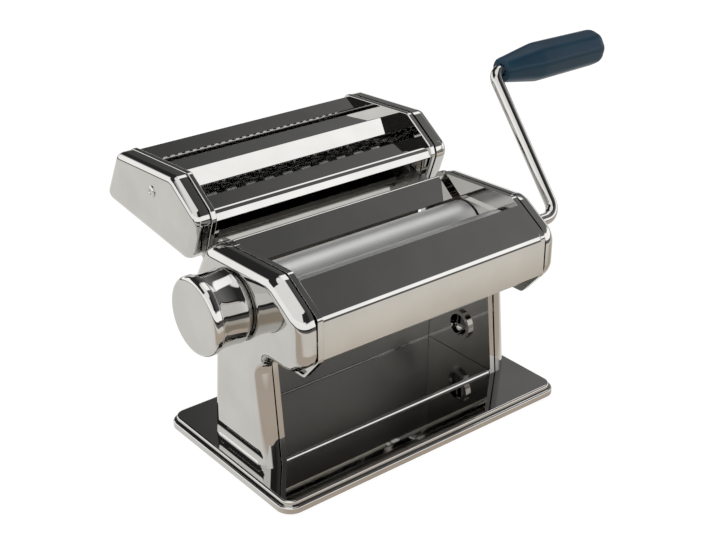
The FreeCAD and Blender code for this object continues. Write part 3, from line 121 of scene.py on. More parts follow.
class Shader:
    """The nodes of a material or of the world."""

    def __init__(self, owner, output):
        owner.use_nodes = True
        self.tree = owner.node_tree
        self.tree.nodes.clear()
        self.output = self.tree.nodes.new(output)

    def node(self, kind, settings, inputs, output=0):
        """A node with its settings, the values or links of its sockets, and the output that is used."""
        made = self.tree.nodes.new(kind)
        for key, value in settings.items():
            if key == "stops":
                ramp = made.color_ramp
                for place, (spot, colour) in enumerate(value):
                    element = ramp.elements[place] if place < 2 else ramp.elements.new(spot)
                    element.position, element.color = spot, (*colour, 1.0)
            else:
                setattr(made, key, value)
        for key, value in inputs.items():
            if isinstance(value, Wire):
                self.tree.links.new(value.socket, made.inputs[key])
            else:
                made.inputs[key].default_value = value
        return Wire(self, made.outputs[output])

    def show(self, wire):
        """Use a shader as the result."""
        self.tree.links.new(wire.socket, self.output.inputs["Surface"])

    def ramp(self, value, stops):
        """A colour that follows a value from stop to stop."""
        return self.node("ShaderNodeValToRGB", {"stops": stops}, {"Fac": value})

    def levels(self, value, stops):
        """A brightness that follows a value from stop to stop."""
        return self.ramp(value, [(spot, (level, level, level)) for spot, level in stops])

    def mix(self, share, first, second):
        """One colour blended into another."""
        return self.node("ShaderNodeMix", {"data_type": "RGBA"}, {0: share, 6: first, 7: second}, 2)


class Finish(Shader):
    """One material."""

    def __init__(self, name):
        self.material = bpy.data.materials.get(name) or bpy.data.materials.new(name)
        super().__init__(self.material, "ShaderNodeOutputMaterial")

    def place(self, stretch=(1.0, 1.0, 1.0)):
        """Object coordinates, stretched along the axes."""
        where = self.node("ShaderNodeTexCoord", {}, {}, "Object")
        return self.node("ShaderNodeMapping", {}, {"Vector": where, "Scale": stretch})

    def noise(self, scale, detail=2.0, stretch=(1.0, 1.0, 1.0), roughness=0.5):
        """Noise in the piece's own space."""
        inputs = {"Vector": self.place(stretch), "Scale": scale, "Detail": detail}
        return self.node("ShaderNodeTexNoise", {}, {**inputs, "Roughness": roughness})

    def bump(self, height, strength, distance):
        """Relief from a height, with its distance in metres."""
        inputs = {"Height": height, "Strength": strength, "Distance": distance}
        return self.node("ShaderNodeBump", {}, inputs)

    def surface(self, **inputs):
        """The main shader, with its inputs named in plain words."""
        words = {}
        for key, value in inputs.items():
            words[key.replace("_", " ").title().replace("Ior", "IOR")] = value
        self.show(self.node("ShaderNodeBsdfPrincipled", {}, words))
        return self.material


# Finishes
def shades(colour, lift):
    """A darker and a lighter neighbour of a colour."""
    return tuple(c * (1 - lift) for c in colour), tuple(min(1.0, c * (1 + lift)) for c in colour)


def polished_steel():
    """Mirror polished stainless steel: faint polishing lines, smudges and pressed waviness."""
    finish = Finish("polished_steel_finish")
    smudge = finish.noise(38.0, 4.0)
    lines = finish.noise(260.0, 3.0, roughness=0.7)
    wave = finish.noise(16.0, 1.0)
    dark, light = shades(bpy.context.scene.machine_finish.steel, 0.04)
    return finish.surface(
        base_color=finish.ramp(smudge, [(0.35, dark), (0.65, light)]),
        metallic=1.0,
        roughness=0.012 + smudge * 0.03 + lines * 0.02,
        normal=finish.bump(wave + lines * 0.02, 0.12, 0.0009),
    )


def chute_steel():
    """The slide: its upright back is darker in colour, rougher and lined; its floor is polished."""
    finish = Finish("chute_steel_finish")
    smudge = finish.noise(38.0, 4.0)
    lines = finish.noise(500.0, 3.0, (1.0, 1.0, 0.03), 0.7)
    height = finish.node("ShaderNodeSeparateXYZ", {}, {"Vector": finish.place()}).beside("Z")
    back = finish.levels(height * 10.0, [(0.104, 0.0), (0.125, 1.0)])
    steel = bpy.context.scene.machine_finish.steel
    dark, light = shades(steel, 0.04)
    # The upright back's base colour is 0.62 of the floor's steel colour
    darker_back_colour = tuple(0.62 * c for c in steel)
    plain = finish.ramp(smudge, [(0.35, dark), (0.65, light)])
    return finish.surface(
        base_color=finish.mix(back, plain, (*darker_back_colour, 1.0)),
        metallic=1.0,
        roughness=0.012 + smudge * 0.03 + back * 0.30 + back * lines * 0.08,
        normal=finish.bump(lines * back, 0.08, 0.0001),
    )


def ground_steel():
    """The smooth rollers: fine grinding marks round the axis."""
    finish = Finish("ground_steel_finish")
    marks = finish.noise(900.0, 3.0, (1.0, 0.02, 0.02), 0.65)
    patches = finish.noise(30.0, 3.0)
    return finish.surface(
        base_color=finish.ramp(patches, [(0.3, (0.64, 0.64, 0.63)), (0.7, (0.72, 0.72, 0.71))]),
        metallic=1.0,
        roughness=0.40 + marks * 0.08 + patches * 0.04,
        normal=finish.bump(marks, 0.12, 0.00008),
    )


def cutting_steel():
    """The grooved cutting rollers: smoother, with fine turning marks."""
    finish = Finish("cutting_steel_finish")
    marks = finish.noise(1400.0, 3.0, (1.0, 0.02, 0.02), 0.6)
    patches = finish.noise(40.0, 3.0)
    return finish.surface(
        base_color=finish.ramp(patches, [(0.3, (0.60, 0.60, 0.59)), (0.7, (0.68, 0.68, 0.67))]),
        metallic=1.0,
        roughness=0.15 + marks * 0.08 + patches * 0.04,
        normal=finish.bump(marks, 0.10, 0.00005),
    )


def satin_steel():
    """Plain steel of the hidden working pieces."""
    finish = Finish("satin_steel_finish")
    grain = finish.noise(700.0, 4.0, (0.2, 1.0, 1.0))
    patches = finish.noise(60.0, 3.0)
    return finish.surface(
        base_color=finish.ramp(patches, [(0.3, (0.42, 0.42, 0.41)), (0.7, (0.52, 0.52, 0.51))]),
        metallic=1.0,
        roughness=0.24 + grain * 0.16,
        normal=finish.bump(grain, 0.2, 0.00008),
    )


def grip_plastic():
    """Deep blue moulded plastic with a soft gloss."""
    finish = Finish("grip_plastic_finish")
    speckle = finish.noise(1500.0, 2.0)
    cloud = finish.noise(45.0, 3.0)
    return finish.surface(
        base_color=finish.ramp(cloud, [(0.3, (0.003, 0.029, 0.056)), (0.7, (0.005, 0.039, 0.074))]),
        roughness=0.36 + speckle * 0.10 + cloud * 0.06,
        specular_ior_level=0.34,
        normal=finish.bump(speckle, 0.10, 0.0002),
    )


def bearing_plastic():
    """Off-white plastic of the bushes and combs."""
    finish = Finish("bearing_plastic_finish")
    cloud = finish.noise(80.0, 3.0)
    return finish.surface(
        base_color=finish.ramp(cloud, [(0.3, (0.70, 0.69, 0.65)), (0.7, (0.78, 0.77, 0.73))]),
        roughness=0.42 + cloud * 0.1,
        normal=finish.bump(finish.noise(900.0, 2.0), 0.1, 0.0001),
    )


def foot_rubber():
    """Black rubber of the feet."""
    finish = Finish("foot_rubber_finish")
    cloud = finish.noise(150.0, 3.0)
    return finish.surface(
        base_color=finish.ramp(cloud, [(0.3, (0.012, 0.012, 0.012)), (0.7, (0.024, 0.024, 0.024))]),
        roughness=0.6 + cloud * 0.15,
        normal=finish.bump(finish.noise(1200.0, 2.0), 0.2, 0.0002),
    )


# Each finish, and the material slot of the record that it stands for
FINISHES = {
    "polished_steel": (polished_steel, "polished_steel"),
    "chute_steel": (chute_steel, "polished_steel"),
    "ground_steel": (ground_steel, "roller_steel"),
    "cutting_steel": (cutting_steel, "roller_steel"),
    "satin_steel": (satin_steel, "plain_steel"),
    "grip_plastic": (grip_plastic, "grip_plastic"),
    "bearing_plastic": (bearing_plastic, "bearing_plastic"),
    "foot_rubber": (foot_rubber, "foot_rubber"),
}


def finish_of(name):
    """The material of a finish, made at its first use."""
    make, _ = FINISHES[name]
    return bpy.data.materials.get(f"{name}_finish") or make()


# Mesh work
SHARP = math.radians(32)
NEAR = 1e-4
# The share of a side that a rounded corner may take up, so that two of them leave a flat between
MOST_OF_SIDE = 0.46


def verts_of(made):
    """The vertices that an extrusion made."""
    return [item for item in made["geom"] if isinstance(item, bmesh.types.BMVert)]


def mark_sharp(bm):
    """Keep shading crisp across the edges that turn sharply."""
    for edge in bm.edges:
        edge.smooth = not (len(edge.link_faces) == 2 and edge.calc_face_angle(0.0) > SHARP)


def weigh_normals(piece):
    """Let large flat faces lead the shading."""
    weighted = piece.modifiers.new("flat faces first", "WEIGHTED_NORMAL")
    weighted.mode = "FACE_AREA"
    weighted.keep_sharp = True


def put(name, bm, body, finish, *nodes, fix_normals=True):
    """Turn a bmesh in metres into a shown piece that stands for CAD nodes."""
    if fix_normals:
        bmesh.ops.recalc_face_normals(bm, faces=bm.faces[:])
    for face in bm.faces:
        face.smooth = True
    mark_sharp(bm)
    mesh = bpy.data.meshes.new(name)
    bm.to_mesh(mesh)
    bm.free()
    piece = bpy.data.objects.new(name, mesh)
    bpy.context.scene.collection.objects.link(piece)
    mesh.materials.append(finish_of(finish))
    weigh_normals(piece)
    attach(piece, body)
    if nodes:
        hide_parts(*nodes)
    return piece


def merged(node):
    """A merged copy of a CAD node's mesh."""
    bm = bmesh.new()
    bm.from_mesh(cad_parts[node].data)
    bmesh.ops.remove_doubles(bm, verts=bm.verts[:], dist=2e-6)
    bmesh.ops.dissolve_limit(bm, angle_limit=math.radians(0.5), verts=bm.verts[:], edges=bm.edges[:])
    return bm


def dressed(node, body, finish):
    """A merged copy of a CAD node with a finish."""
    return put(f"{node}_shown", merged(node), body, finish, node, fix_normals=False)


def rimmed(node, body, outline, inner, outer):
    """A pressed plate whose flange has rolled edges."""
    rolled, nearest, sharpest = 1.5, 2.4, math.radians(60)
    bm = merged(node)
    rim = []
    for edge in bm.edges:
        ends = [v.co / MM for v in edge.verts]
        on_face = any(all(abs(abs(c.x) - x) < 0.02 for c in ends) for x in (inner, outer))
        turned = len(edge.link_faces) == 2 and edge.calc_face_angle_signed(0.0) > sharpest
        if on_face and turned and to_outline((ends[0] + ends[1]) / 2, outline) < nearest:
            rim.append(edge)
    bmesh.ops.bevel(bm, geom=rim, offset=rolled * MM, offset_type="OFFSET", affect="EDGES",
                    segments=4, profile=0.5, material=-1, clamp_overlap=True)
    return put(f"{node}_shown", bm, body, "polished_steel", node, fix_normals=False)


def to_outline(point, outline):
    """The distance in millimetres from a point to a profile of (y, z)."""
    spot = Vector((point.y, point.z))
    gaps = []
    for start, end in zip(outline, outline[1:] + outline[:1]):
        start, end = Vector(start), Vector(end)
        along = end - start
        share = max(0.0, min(1.0, (spot - start).dot(along) / along.length_squared))
        gaps.append((start + along * share - spot).length)
    return min(gaps)


def scaled(bm):
    """A mesh in millimetres brought to metres."""
    bmesh.ops.scale(bm, vec=(MM, MM, MM), verts=bm.verts[:])
    return bm


def turning_angle(before, here, after):
    """How far a path turns at a point, in radians."""
    return abs((Vector(here) - Vector(before)).angle_signed(Vector(after) - Vector(here)))


def bevel(bm, edges, offset, segments):
    """Round some edges."""
    bmesh.ops.bevel(bm, geom=edges, offset=offset, offset_type="OFFSET", affect="EDGES",
                    segments=segments, profile=0.5, material=-1, clamp_overlap=False)


def long_edges(bm, y, z):
    """Edges along X that pass through one point of the profile."""
    found = []
    for edge in bm.edges:
        ends = [v.co for v in edge.verts]
        through = all(abs(c.y - y) < NEAR and abs(c.z - z) < NEAR for c in ends)
        if through and abs(ends[0].x - ends[1].x) > NEAR:
            found.append(edge)
    return found


def prism(outline, start, end):
    """A profile of (y, z) pushed out along X, in millimetres."""
    bm = bmesh.new()
    face = bm.faces.new([bm.verts.new((start, y, z)) for y, z in outline])
    grown = bmesh.ops.extrude_face_region(bm, geom=[face])
    bmesh.ops.translate(bm, vec=(end - start, 0, 0), verts=verts_of(grown))
    bmesh.ops.recalc_face_normals(bm, faces=bm.faces[:])
    return bm


def round_corners(bm, outline, radius, segments, skip=()):
    """Round the profile's corners to one radius."""
    for place, point in enumerate(outline):
        if place in skip:
            continue
        before, after = outline[place - 1], outline[(place + 1) % len(outline)]
        shorter = min(math.dist(before, point), math.dist(point, after))
        reach = radius * math.tan(turning_angle(before, point, after) / 2)
        bevel(bm, long_edges(bm, *point), min(reach, MOST_OF_SIDE * shorter), segments)


def sheet(path, half, wall, bends, segments=6):
    """A sheet along X, bent along a path of (y, z), with its wall on the path's right-hand side."""
    bm = bmesh.new()
    verts = [bm.verts.new((-half, y, z)) for y, z in path]
    edges = [bm.edges.new(pair) for pair in zip(verts, verts[1:])]
    grown = bmesh.ops.extrude_edge_only(bm, edges=edges)
    bmesh.ops.translate(bm, vec=(2 * half, 0, 0), verts=verts_of(grown))
    for before, here, after, bend in zip(path, path[1:], path[2:], bends):
        reach = bend * math.tan(turning_angle(before, here, after) / 2)
        bevel(bm, long_edges(bm, *here), reach, segments)
    thicken(bm, path, wall)
    return bm


def thicken(bm, path, wall):
    """Give a strip its wall on the right-hand side of its path."""
    bmesh.ops.recalc_face_normals(bm, faces=bm.faces[:])
    (y0, z0), (y1, z1) = path[:2]
    outside = Vector((0, -(z1 - z0), y1 - y0))
    middle = Vector((0, (y0 + y1) / 2, (z0 + z1) / 2))
    first = min(bm.faces, key=lambda f: (f.calc_center_median() - middle).length)
    if first.normal.dot(outside) < 0:
        bmesh.ops.reverse_faces(bm, faces=bm.faces[:])
    bmesh.ops.solidify(bm, geom=bm.faces[:], thickness=wall)
    return bm


def spun(profile, y, z, steps=96):
    """A profile of (x, radius) turned about a line along X, in millimetres."""
    bm = bmesh.new()
    verts = [bm.verts.new((x, 0, radius)) for x, radius in profile]
    edges = [bm.edges.new(pair) for pair in zip(verts, verts[1:])]
    bmesh.ops.spin(bm, geom=verts + edges, cent=(0, 0, 0), axis=(1, 0, 0), angle=2 * math.pi,
                   steps=steps, use_merge=True)
    bmesh.ops.remove_doubles(bm, verts=bm.verts[:], dist=NEAR)
    bmesh.ops.translate(bm, vec=(0, y, z), verts=bm.verts[:])
    bmesh.ops.recalc_face_normals(bm, faces=bm.faces[:])
    return bm


def rings(bm, y, z, x, radius):
    """Edges of the ring at one x and radius of a turned piece."""
    def on_it(point):
        return abs(point.x - x) < 1e-3 and abs(math.hypot(point.y - y, point.z - z) - radius) < 1e-2

    return [edge for edge in bm.edges if all(on_it(v.co) for v in edge.verts)]


# Operators
class MachineFinish(bpy.types.PropertyGroup):
    """Sizes and colours that a user would change."""

    cover_edge: bpy.props.FloatProperty(
        name="Cover edge",
        description="Rounding round the outer face of a side cover, in millimetres",
        default=8.0)
    cutter_edge: bpy.props.FloatProperty(
        name="Cutter cover edge",
        description="Rounding round a cutter cover's outer face, in millimetres",
        default=4.6)
    bend: bpy.props.FloatProperty(
        name="Bend radius",
        description="Outside radius of the sheets' folds, in millimetres",
        default=1.6)
    steel: bpy.props.FloatVectorProperty(
        name="Steel",
        description="Colour of the polished steel",
        subtype="COLOR", size=3,
        default=(0.56, 0.552, 0.535))


class PASTA_OT_stage(bpy.types.Operator):
    """Floor, light and camera"""

    bl_idname = "pasta.stage"
    bl_label = "Stage"

    def execute(self, context):
        scene = context.scene
        scene.view_settings.view_transform = "Standard"
        self.camera(scene)
        self.floor()
        self.world(scene)
        return {"FINISHED"}

    def camera(self, scene):
        """The photograph's own viewpoint."""
        data = bpy.data.cameras.new("camera")
        data.lens, data.sensor_width, data.sensor_fit = 65.49, 36.0, "HORIZONTAL"
        data.clip_start, data.clip_end = 0.01, 50.0
        eye = bpy.data.objects.new("camera", data)
        scene.collection.objects.link(eye)
        place = (-0.41286, -0.50682, 0.40917)
        across, upward = (0.7802, -0.6256, 0.0), (0.2732, 0.3407, 0.8996)
        back = (-0.5628, -0.7018, 0.4367)
        turn = Matrix((across, upward, back)).transposed().to_4x4()
        eye.matrix_world = Matrix.Translation(place) @ turn
        scene.camera = eye

    def floor(self):
        """A floor that the camera sees as white; the metal sees on it a painted reflection of a pale table
        with darker bands.
        """
        bm = bmesh.new()
        bmesh.ops.create_grid(bm, x_segments=1, y_segments=1, size=1.0)
        bmesh.ops.scale(bm, vec=(4.0, 2.3, 1.0), verts=bm.verts[:])
        bmesh.ops.translate(bm, vec=(0, 1.6, 0), verts=bm.verts[:])
        mesh = bpy.data.meshes.new("floor")
        bm.to_mesh(mesh)
        bm.free()
        floor = bpy.data.objects.new("floor", mesh)
        bpy.context.scene.collection.objects.link(floor)
        mesh.materials.append(self.paper())

    def paper(self):
        """The floor's material: a shadow catcher plus a glow that is white to the camera and a painted
        reflection of a banded table to glossy and diffuse rays.
        """
        # dark and beige are painted reflection colours that the metal picks up from the floor
        grey, dark, white = (0.16, 0.16, 0.16), (0.05, 0.05, 0.05), (1.0, 1.0, 1.0)
        reflected_beige = (0.54, 0.455, 0.365)
        paper = Finish("floor_paper")
        diffuse = paper.node("ShaderNodeBsdfDiffuse", {}, {"Color": (*grey, 1.0)})
        place = paper.place()
        depth = paper.node("ShaderNodeSeparateXYZ", {}, {"Vector": place}).beside("Y") + 1.0
        distance = paper.node("ShaderNodeVectorMath", {"operation": "LENGTH"}, {0: place}, 1) * 0.25
        # Painted reflection: beige and dark bands across the floor in front of the machine and dark further
        # away, seen only in reflections and bounce light
        painted_reflection_bands = paper.ramp(depth, [(0.66, dark), (0.71, (0.82, 0.74, 0.60)), (0.79, (0.78, 0.68, 0.53)),
                                   (0.84, reflected_beige), (0.94, reflected_beige), (0.97, (0.76, 0.75, 0.69))])
        painted_reflection_table = paper.mix(paper.levels(distance, [(0.25, 0.0), (0.32, 1.0)]), painted_reflection_bands, (*dark, 1.0))
        reflection_white_share = paper.levels(depth, [(0.66, 0.0), (0.71, 0.5), (0.79, 0.5),
                                    (0.84, 0.0), (0.94, 0.0), (0.97, 0.5)])
        reflection_white_share = reflection_white_share * paper.levels(distance, [(0.25, 1.0), (0.32, 0.0)])
        # The camera sees plain white; reflections see the painted bands, partly whitened
        seen = paper.node("ShaderNodeLightPath", {}, {}, "Is Camera Ray")
        seen = seen + seen.beside("Is Transmission Ray") + seen.beside("Is Glossy Ray") * reflection_white_share
        white_or_painted_reflection = paper.mix(seen, painted_reflection_table, (*white, 1.0))
        glow_and_painted_reflection = paper.node("ShaderNodeEmission", {}, {"Color": white_or_painted_reflection, "Strength": 0.93})
        paper.show(paper.node("ShaderNodeAddShader", {}, {0: diffuse, 1: glow_and_painted_reflection}))
        return paper.material

    def world(self, scene):
        """A studio of bright walls, a box and lamps with dark gaps, which the camera sees as white."""
        lamp_level = 1.75
        scene.world = bpy.data.worlds.new("studio")
        studio = Shader(scene.world, "ShaderNodeOutputWorld")
        where = studio.node("ShaderNodeTexCoord", {}, {}, "Generated")
        across = studio.node("ShaderNodeSeparateXYZ", {}, {"Vector": where})
        depth, height = across.beside("Y"), across.beside("Z")
        # A ramp reads 0 to 1, so each part of a direction, from -1 to 1, is moved into that range
        x, y, z = across * 0.5 + 0.5, depth * 0.5 + 0.5, height * 0.5 + 0.5

        def wall(top):
            """A bright band from the horizon up to a height."""
            return studio.levels(z, [(0.485, 0.0), (0.50, 1.0), (top, 1.0), (top + 0.03, 0.0)])

        front = studio.levels(y, [(0.42, 1.0), (0.50, 0.0)])
        left = studio.levels(x, [(0.40, 1.0), (0.48, 0.0)])
        slant = (depth + height * 0.6) * 0.5 + 0.5
        turned = (across - depth * 0.6) * 0.5 + 0.5
        box = studio.levels(slant, [(0.724, 1.0), (0.742, 0.0)])
        box = box * studio.levels(turned, [(0.55, 1.0), (0.58, 0.0)])
        box = box * studio.levels(z, [(0.5, 0.0), (0.52, 1.0)])
        strip = studio.levels(y, [(0.49, 0.0), (0.51, 1.0), (0.71, 1.0), (0.74, 0.0)])
        strip = strip * studio.levels(x, [(0.60, 0.0), (0.65, 1.0)])
        strip = strip * studio.levels(z, [(0.82, 0.0), (0.85, 1.0)])
        overhead = studio.levels(z, [(0.955, 0.0), (0.965, 1.0)])
        lit = wall(0.56)
        for lamp in (front * wall(0.67), left * wall(0.72), strip, box * 0.85, overhead * 0.85):
            lit = lit.maths("MAXIMUM", lit, lamp)
        dim = studio.levels(x, [(0.68, 0.04), (0.84, 0.26)])
        light = studio.node("ShaderNodeBackground", {}, {"Strength": dim + lit * lamp_level})
        white = studio.node("ShaderNodeBackground", {}, {"Color": (1.0, 1.0, 1.0, 1.0), "Strength": 1.0})
        seen = studio.node("ShaderNodeLightPath", {}, {}, "Is Camera Ray")
        seen = seen + seen.beside("Is Transmission Ray")
        studio.show(studio.node("ShaderNodeMixShader", {}, {0: seen, 1: light, 2: white}))


class PASTA_OT_base(bpy.types.Operator):
    """The pressed base and its feet"""

    bl_idname = "pasta.base"
    bl_label = "Base"

    def execute(self, context):
        self.tray()
        dressed("rubber_feet", "frame", "foot_rubber")
        return {"FINISHED"}

    def tray(self):
        """A stepped tray: two rounded rims over an open underside."""
        length, width, corner = 200.0, 117.0, 9.0
        skirt, step, inset, edge_round, skirt_wall, top_wall = 2.5, 6.3, 2.0, 1.2, 3.2, 1.2
        bm = bmesh.new()
        bmesh.ops.create_cube(bm, size=1.0)
        bmesh.ops.scale(bm, vec=(length, width, step - skirt), verts=bm.verts[:])
        bmesh.ops.translate(bm, vec=(0, 0, (step + skirt) / 2), verts=bm.verts[:])
        bevel(bm, [e for e in bm.edges if abs(e.verts[0].co.z - e.verts[1].co.z) > 1], corner, 10)
        top = max(bm.faces, key=lambda f: f.calc_center_median().z)
        bmesh.ops.inset_region(bm, faces=[top], thickness=inset, use_even_offset=True)
        grown = bmesh.ops.extrude_face_region(bm, geom=[top])
        bmesh.ops.translate(bm, vec=(0, 0, BASE_TOP - step), verts=verts_of(grown))
        bmesh.ops.delete(bm, geom=[top], context="FACES")
        for level in (step, BASE_TOP):
            rim = [e for e in bm.edges if self.outer(e, level)]
            bevel(bm, rim, edge_round, 5)
        bottom = min(bm.faces, key=lambda f: f.calc_center_median().z)
        bmesh.ops.inset_region(bm, faces=[bottom], thickness=skirt_wall, use_even_offset=True)
        bmesh.ops.translate(bm, vec=(0, 0, BASE_TOP - top_wall - skirt), verts=bottom.verts[:])
        put("base_tray_shown", scaled(bm), "frame", "polished_steel", "base_tray")

    def outer(self, edge, level):
        """True for a level edge over a side wall that falls away from it."""
        if any(abs(v.co.z - level) > 1e-3 for v in edge.verts):
            return False
        return any(abs(f.normal.z) < 0.5 and f.calc_center_median().z < level - 0.2 for f in edge.link_faces)


class PASTA_OT_head_sides(bpy.types.Operator):
    """The side covers and pressed plates of the head"""

    bl_idname = "pasta.head_sides"
    bl_label = "Head sides"

    def execute(self, context):
        edge, corner = context.scene.machine_finish.cover_edge, 12.0
        cover_low, plate_low = 77.6, 73.0
        holes = {LEFT: (*REAR_AXIS, KNOB_HOLE), RIGHT: (*FRONT_AXIS, CRANK_HOLE)}
        for word, side in SIDE_WORDS.items():
            cover = f"{word}_side_cover"
            bm = cover_shell(head_outline(cover_low), side, COVER_X, corner, edge, foot=True)
            piece = put(f"{cover}_shown", scaled(bm), "frame", "polished_steel", cover)
            drill(piece, side * COVER_X, *holes[side])
            rimmed(f"{word}_frame_plate", "frame", head_outline(plate_low), WEB_X, FLANGE_X)
        return {"FINISHED"}


def cover_shell(outline, side, outer, corner, edge, foot=False):
    """A drawn cover: rounded profile, rounded outer face, open towards the plate."""
    bm = prism(outline, side * COVER_START, side * outer)
    skip = (0, len(outline) - 1) if foot else ()
    round_corners(bm, outline, corner, 8, skip)
    floor = min(z for _, z in outline) + 1e-3
    rim = [e for e in bm.edges if all(abs(v.co.x - side * outer) < NEAR for v in e.verts)
           and (not foot or any(v.co.z > floor for v in e.verts))]
    bevel(bm, rim, edge, 8)
    if foot:
        cove(bm, side, outer)
    inner = [f for f in bm.faces if all(abs(v.co.x - side * COVER_START) < NEAR for v in f.verts)]
    bottom = [f for f in bm.faces if foot and all(v.co.z < floor for v in f.verts)]
    bmesh.ops.delete(bm, geom=inner + bottom, context="FACES")
    bmesh.ops.recalc_face_normals(bm, faces=bm.faces[:])
    middle = max(bm.faces, key=lambda f: f.calc_area())
    if middle.normal.x * side < 0:
        bmesh.ops.reverse_faces(bm, faces=bm.faces[:])
    bmesh.ops.solidify(bm, geom=bm.faces[:], thickness=COVER_WALL)
    return bm


def cove(bm, side, outer):
    """Hollow a band across the foot of a leg's outer face."""
    middle_z, radius, depth, cuts = 15.4, 8.0, 1.6, 8
    reach = math.sqrt(radius ** 2 - (radius - depth) ** 2)
    for step in range(cuts + 1):
        level = middle_z + reach * math.cos(math.pi * step / cuts)
        bmesh.ops.bisect_plane(bm, geom=bm.verts[:] + bm.edges[:] + bm.faces[:], dist=1e-5,
                               plane_co=(0, 0, level), plane_no=(0, 0, 1))
    for vert in bm.verts:
        rise = vert.co.z - middle_z
        if abs(rise) < reach:
            limit = outer + radius - depth - math.sqrt(radius ** 2 - rise ** 2)
            if abs(vert.co.x) > limit:
                vert.co.x = side * limit


def drill(piece, x, y, z, radius):
    """Cut a round hole along X through the wall at x, in millimetres."""
    length = 8
    bm = bmesh.new()
    place = Matrix.Translation((x * MM, y * MM, z * MM))
    bmesh.ops.create_cone(bm, cap_ends=True, segments=48, radius1=radius * MM, radius2=radius * MM,
                          depth=length * MM, matrix=place @ Matrix.Rotation(math.pi / 2, 4, "Y"))
    mesh = bpy.data.meshes.new("drill")
    bm.to_mesh(mesh)
    bm.free()
    tool = bpy.data.objects.new("drill", mesh)
    bpy.context.scene.collection.objects.link(tool)
    cut = piece.modifiers.new("hole", "BOOLEAN")
    cut.operation, cut.object, cut.solver = "DIFFERENCE", tool, "EXACT"
    piece.modifiers.move(len(piece.modifiers) - 1, 0)
    bpy.context.view_layer.update()
    ready = piece.evaluated_get(bpy.context.evaluated_depsgraph_get())
    finished = bpy.data.meshes.new_from_object(ready)
    piece.modifiers.clear()
    piece.data = finished
    bpy.data.objects.remove(tool)
    bm = bmesh.new()
    bm.from_mesh(finished)
    mark_sharp(bm)
    bm.to_mesh(finished)
    bm.free()
    weigh_normals(piece)


class PASTA_OT_head_sheets(bpy.types.Operator):
    """The guards, the chute and the rods between the sides"""

    bl_idname = "pasta.head_sheets"
    bl_label = "Head sheets"

    def execute(self, context):
        bend = context.scene.machine_finish.bend
        guard_bend, slide_bend, cheek_x, slide_x = 6.0, 1.0, 72.6, 75.4
        floor, lip, back = BASE_TOP + 1.2, -23.8, 31.6
        guard = [(-59.3, 87.7), (-59.3, 111.5), (-40.2, 124.1)]
        feed = [(9.8, 113.05), (23.3, 123.6), (40.6, 98.6), (40.6, 88.2), (32.6, 78.0)]
        slide = [(back, 74.0), (back, floor), (lip, floor), (lip, BASE_TOP)]
        for node, bm, finish in (
            ("front_guard", sheet(guard, WEB_X, SHEET_WALL, [guard_bend], 12), "polished_steel"),
            ("feed_guard", sheet(feed, cheek_x, SHEET_WALL, [bend] * 3), "polished_steel"),
            ("pasta_slide", sheet(slide, slide_x, SHEET_WALL, [slide_bend] * 2, 8), "chute_steel"),
        ):
            put(f"{node}_shown", scaled(bm), "frame", finish, node)
        for node in ("head_tie_rods", "seat_brackets"):
            dressed(node, "frame", "satin_steel")
        return {"FINISHED"}


class PASTA_OT_rollers(bpy.types.Operator):
    """The smooth rollers with their gears, bushes and scrapers"""

    bl_idname = "pasta.rollers"
    bl_label = "Smooth rollers"

    def execute(self, context):
        start, half, journal, radius = -79.2, 72.6, 6, 15
        front_end, rear_end, socket, socket_floor = 89.4, 88.2, 4.1, 62.4
        front = [(front_end, journal), (front_end, socket), (socket_floor, socket), (socket_floor, 0)]
        rear = [(rear_end, journal), (rear_end, 0)]
        for name, body, axis, end in (
            ("front_roller", "drive", FRONT_AXIS, front),
            ("rear_roller", "rear", REAR_AXIS, rear),
        ):
            profile = [(start, 0), (start, journal), (-half, journal), (-half, radius), (half, radius),
                       (half, journal), *end]
            bm = spun(profile, *axis, 128)
            for x in (-half, half):
                bevel(bm, rings(bm, *axis, x, radius), 0.4, 3)
            put(f"{name}_shown", scaled(bm), body, "ground_steel", name)
            dressed(f"{name}_gear", body, "satin_steel")
        dressed("roller_bushes", "frame", "bearing_plastic")
        dressed("adjuster_bushes", "carrier", "bearing_plastic")
        for node in ("roller_scrapers", "roller_cheeks"):
            dressed(node, "frame", "polished_steel")
        return {"FINISHED"}


class PASTA_OT_knob(bpy.types.Operator):
    """The thickness knob on its index plate"""

    bl_idname = "pasta.knob"
    bl_label = "Knob"

    def execute(self, context):
        back, waist, seam, face = -91.9, -100.0, -108.4, -114.0
        foot, neck, rim, bore, hub, hub_x = 20.8, 19.3, 21.6, 10.2, 7.06, -97.0
        profile = [(back, hub), (back, foot), (waist, neck), (seam, rim - 0.5), (seam, bore), (hub_x, bore),
                   (hub_x, hub), (back, hub)]
        body = spun(profile, *REAR_AXIS, 128)
        bevel(body, rings(body, *REAR_AXIS, waist, neck), 6.5, 14)
        bevel(body, rings(body, *REAR_AXIS, seam, rim - 0.5), 0.5, 3)
        bevel(body, rings(body, *REAR_AXIS, back, foot), 1.2, 5)
        put("knob_body_shown", scaled(body), "knob", "polished_steel", "knob_body")
        rear = seam - 0.1
        cap = spun([(rear, 0), (rear, rim), (face, rim), (face, 0)], *REAR_AXIS, 128)
        bevel(cap, rings(cap, *REAR_AXIS, face, rim), 3.0, 10)
        bevel(cap, rings(cap, *REAR_AXIS, rear, rim), 0.7, 4)
        put("knob_cap_shown", scaled(cap), "knob", "polished_steel", "knob_cap")
        dressed("index_pin", "knob", "satin_steel")
        dressed("index_plate", "frame", "satin_steel")
        for node in ("knob_spindle", "spindle_retainer"):
            dressed(node, "spindle", "satin_steel")
        return {"FINISHED"}


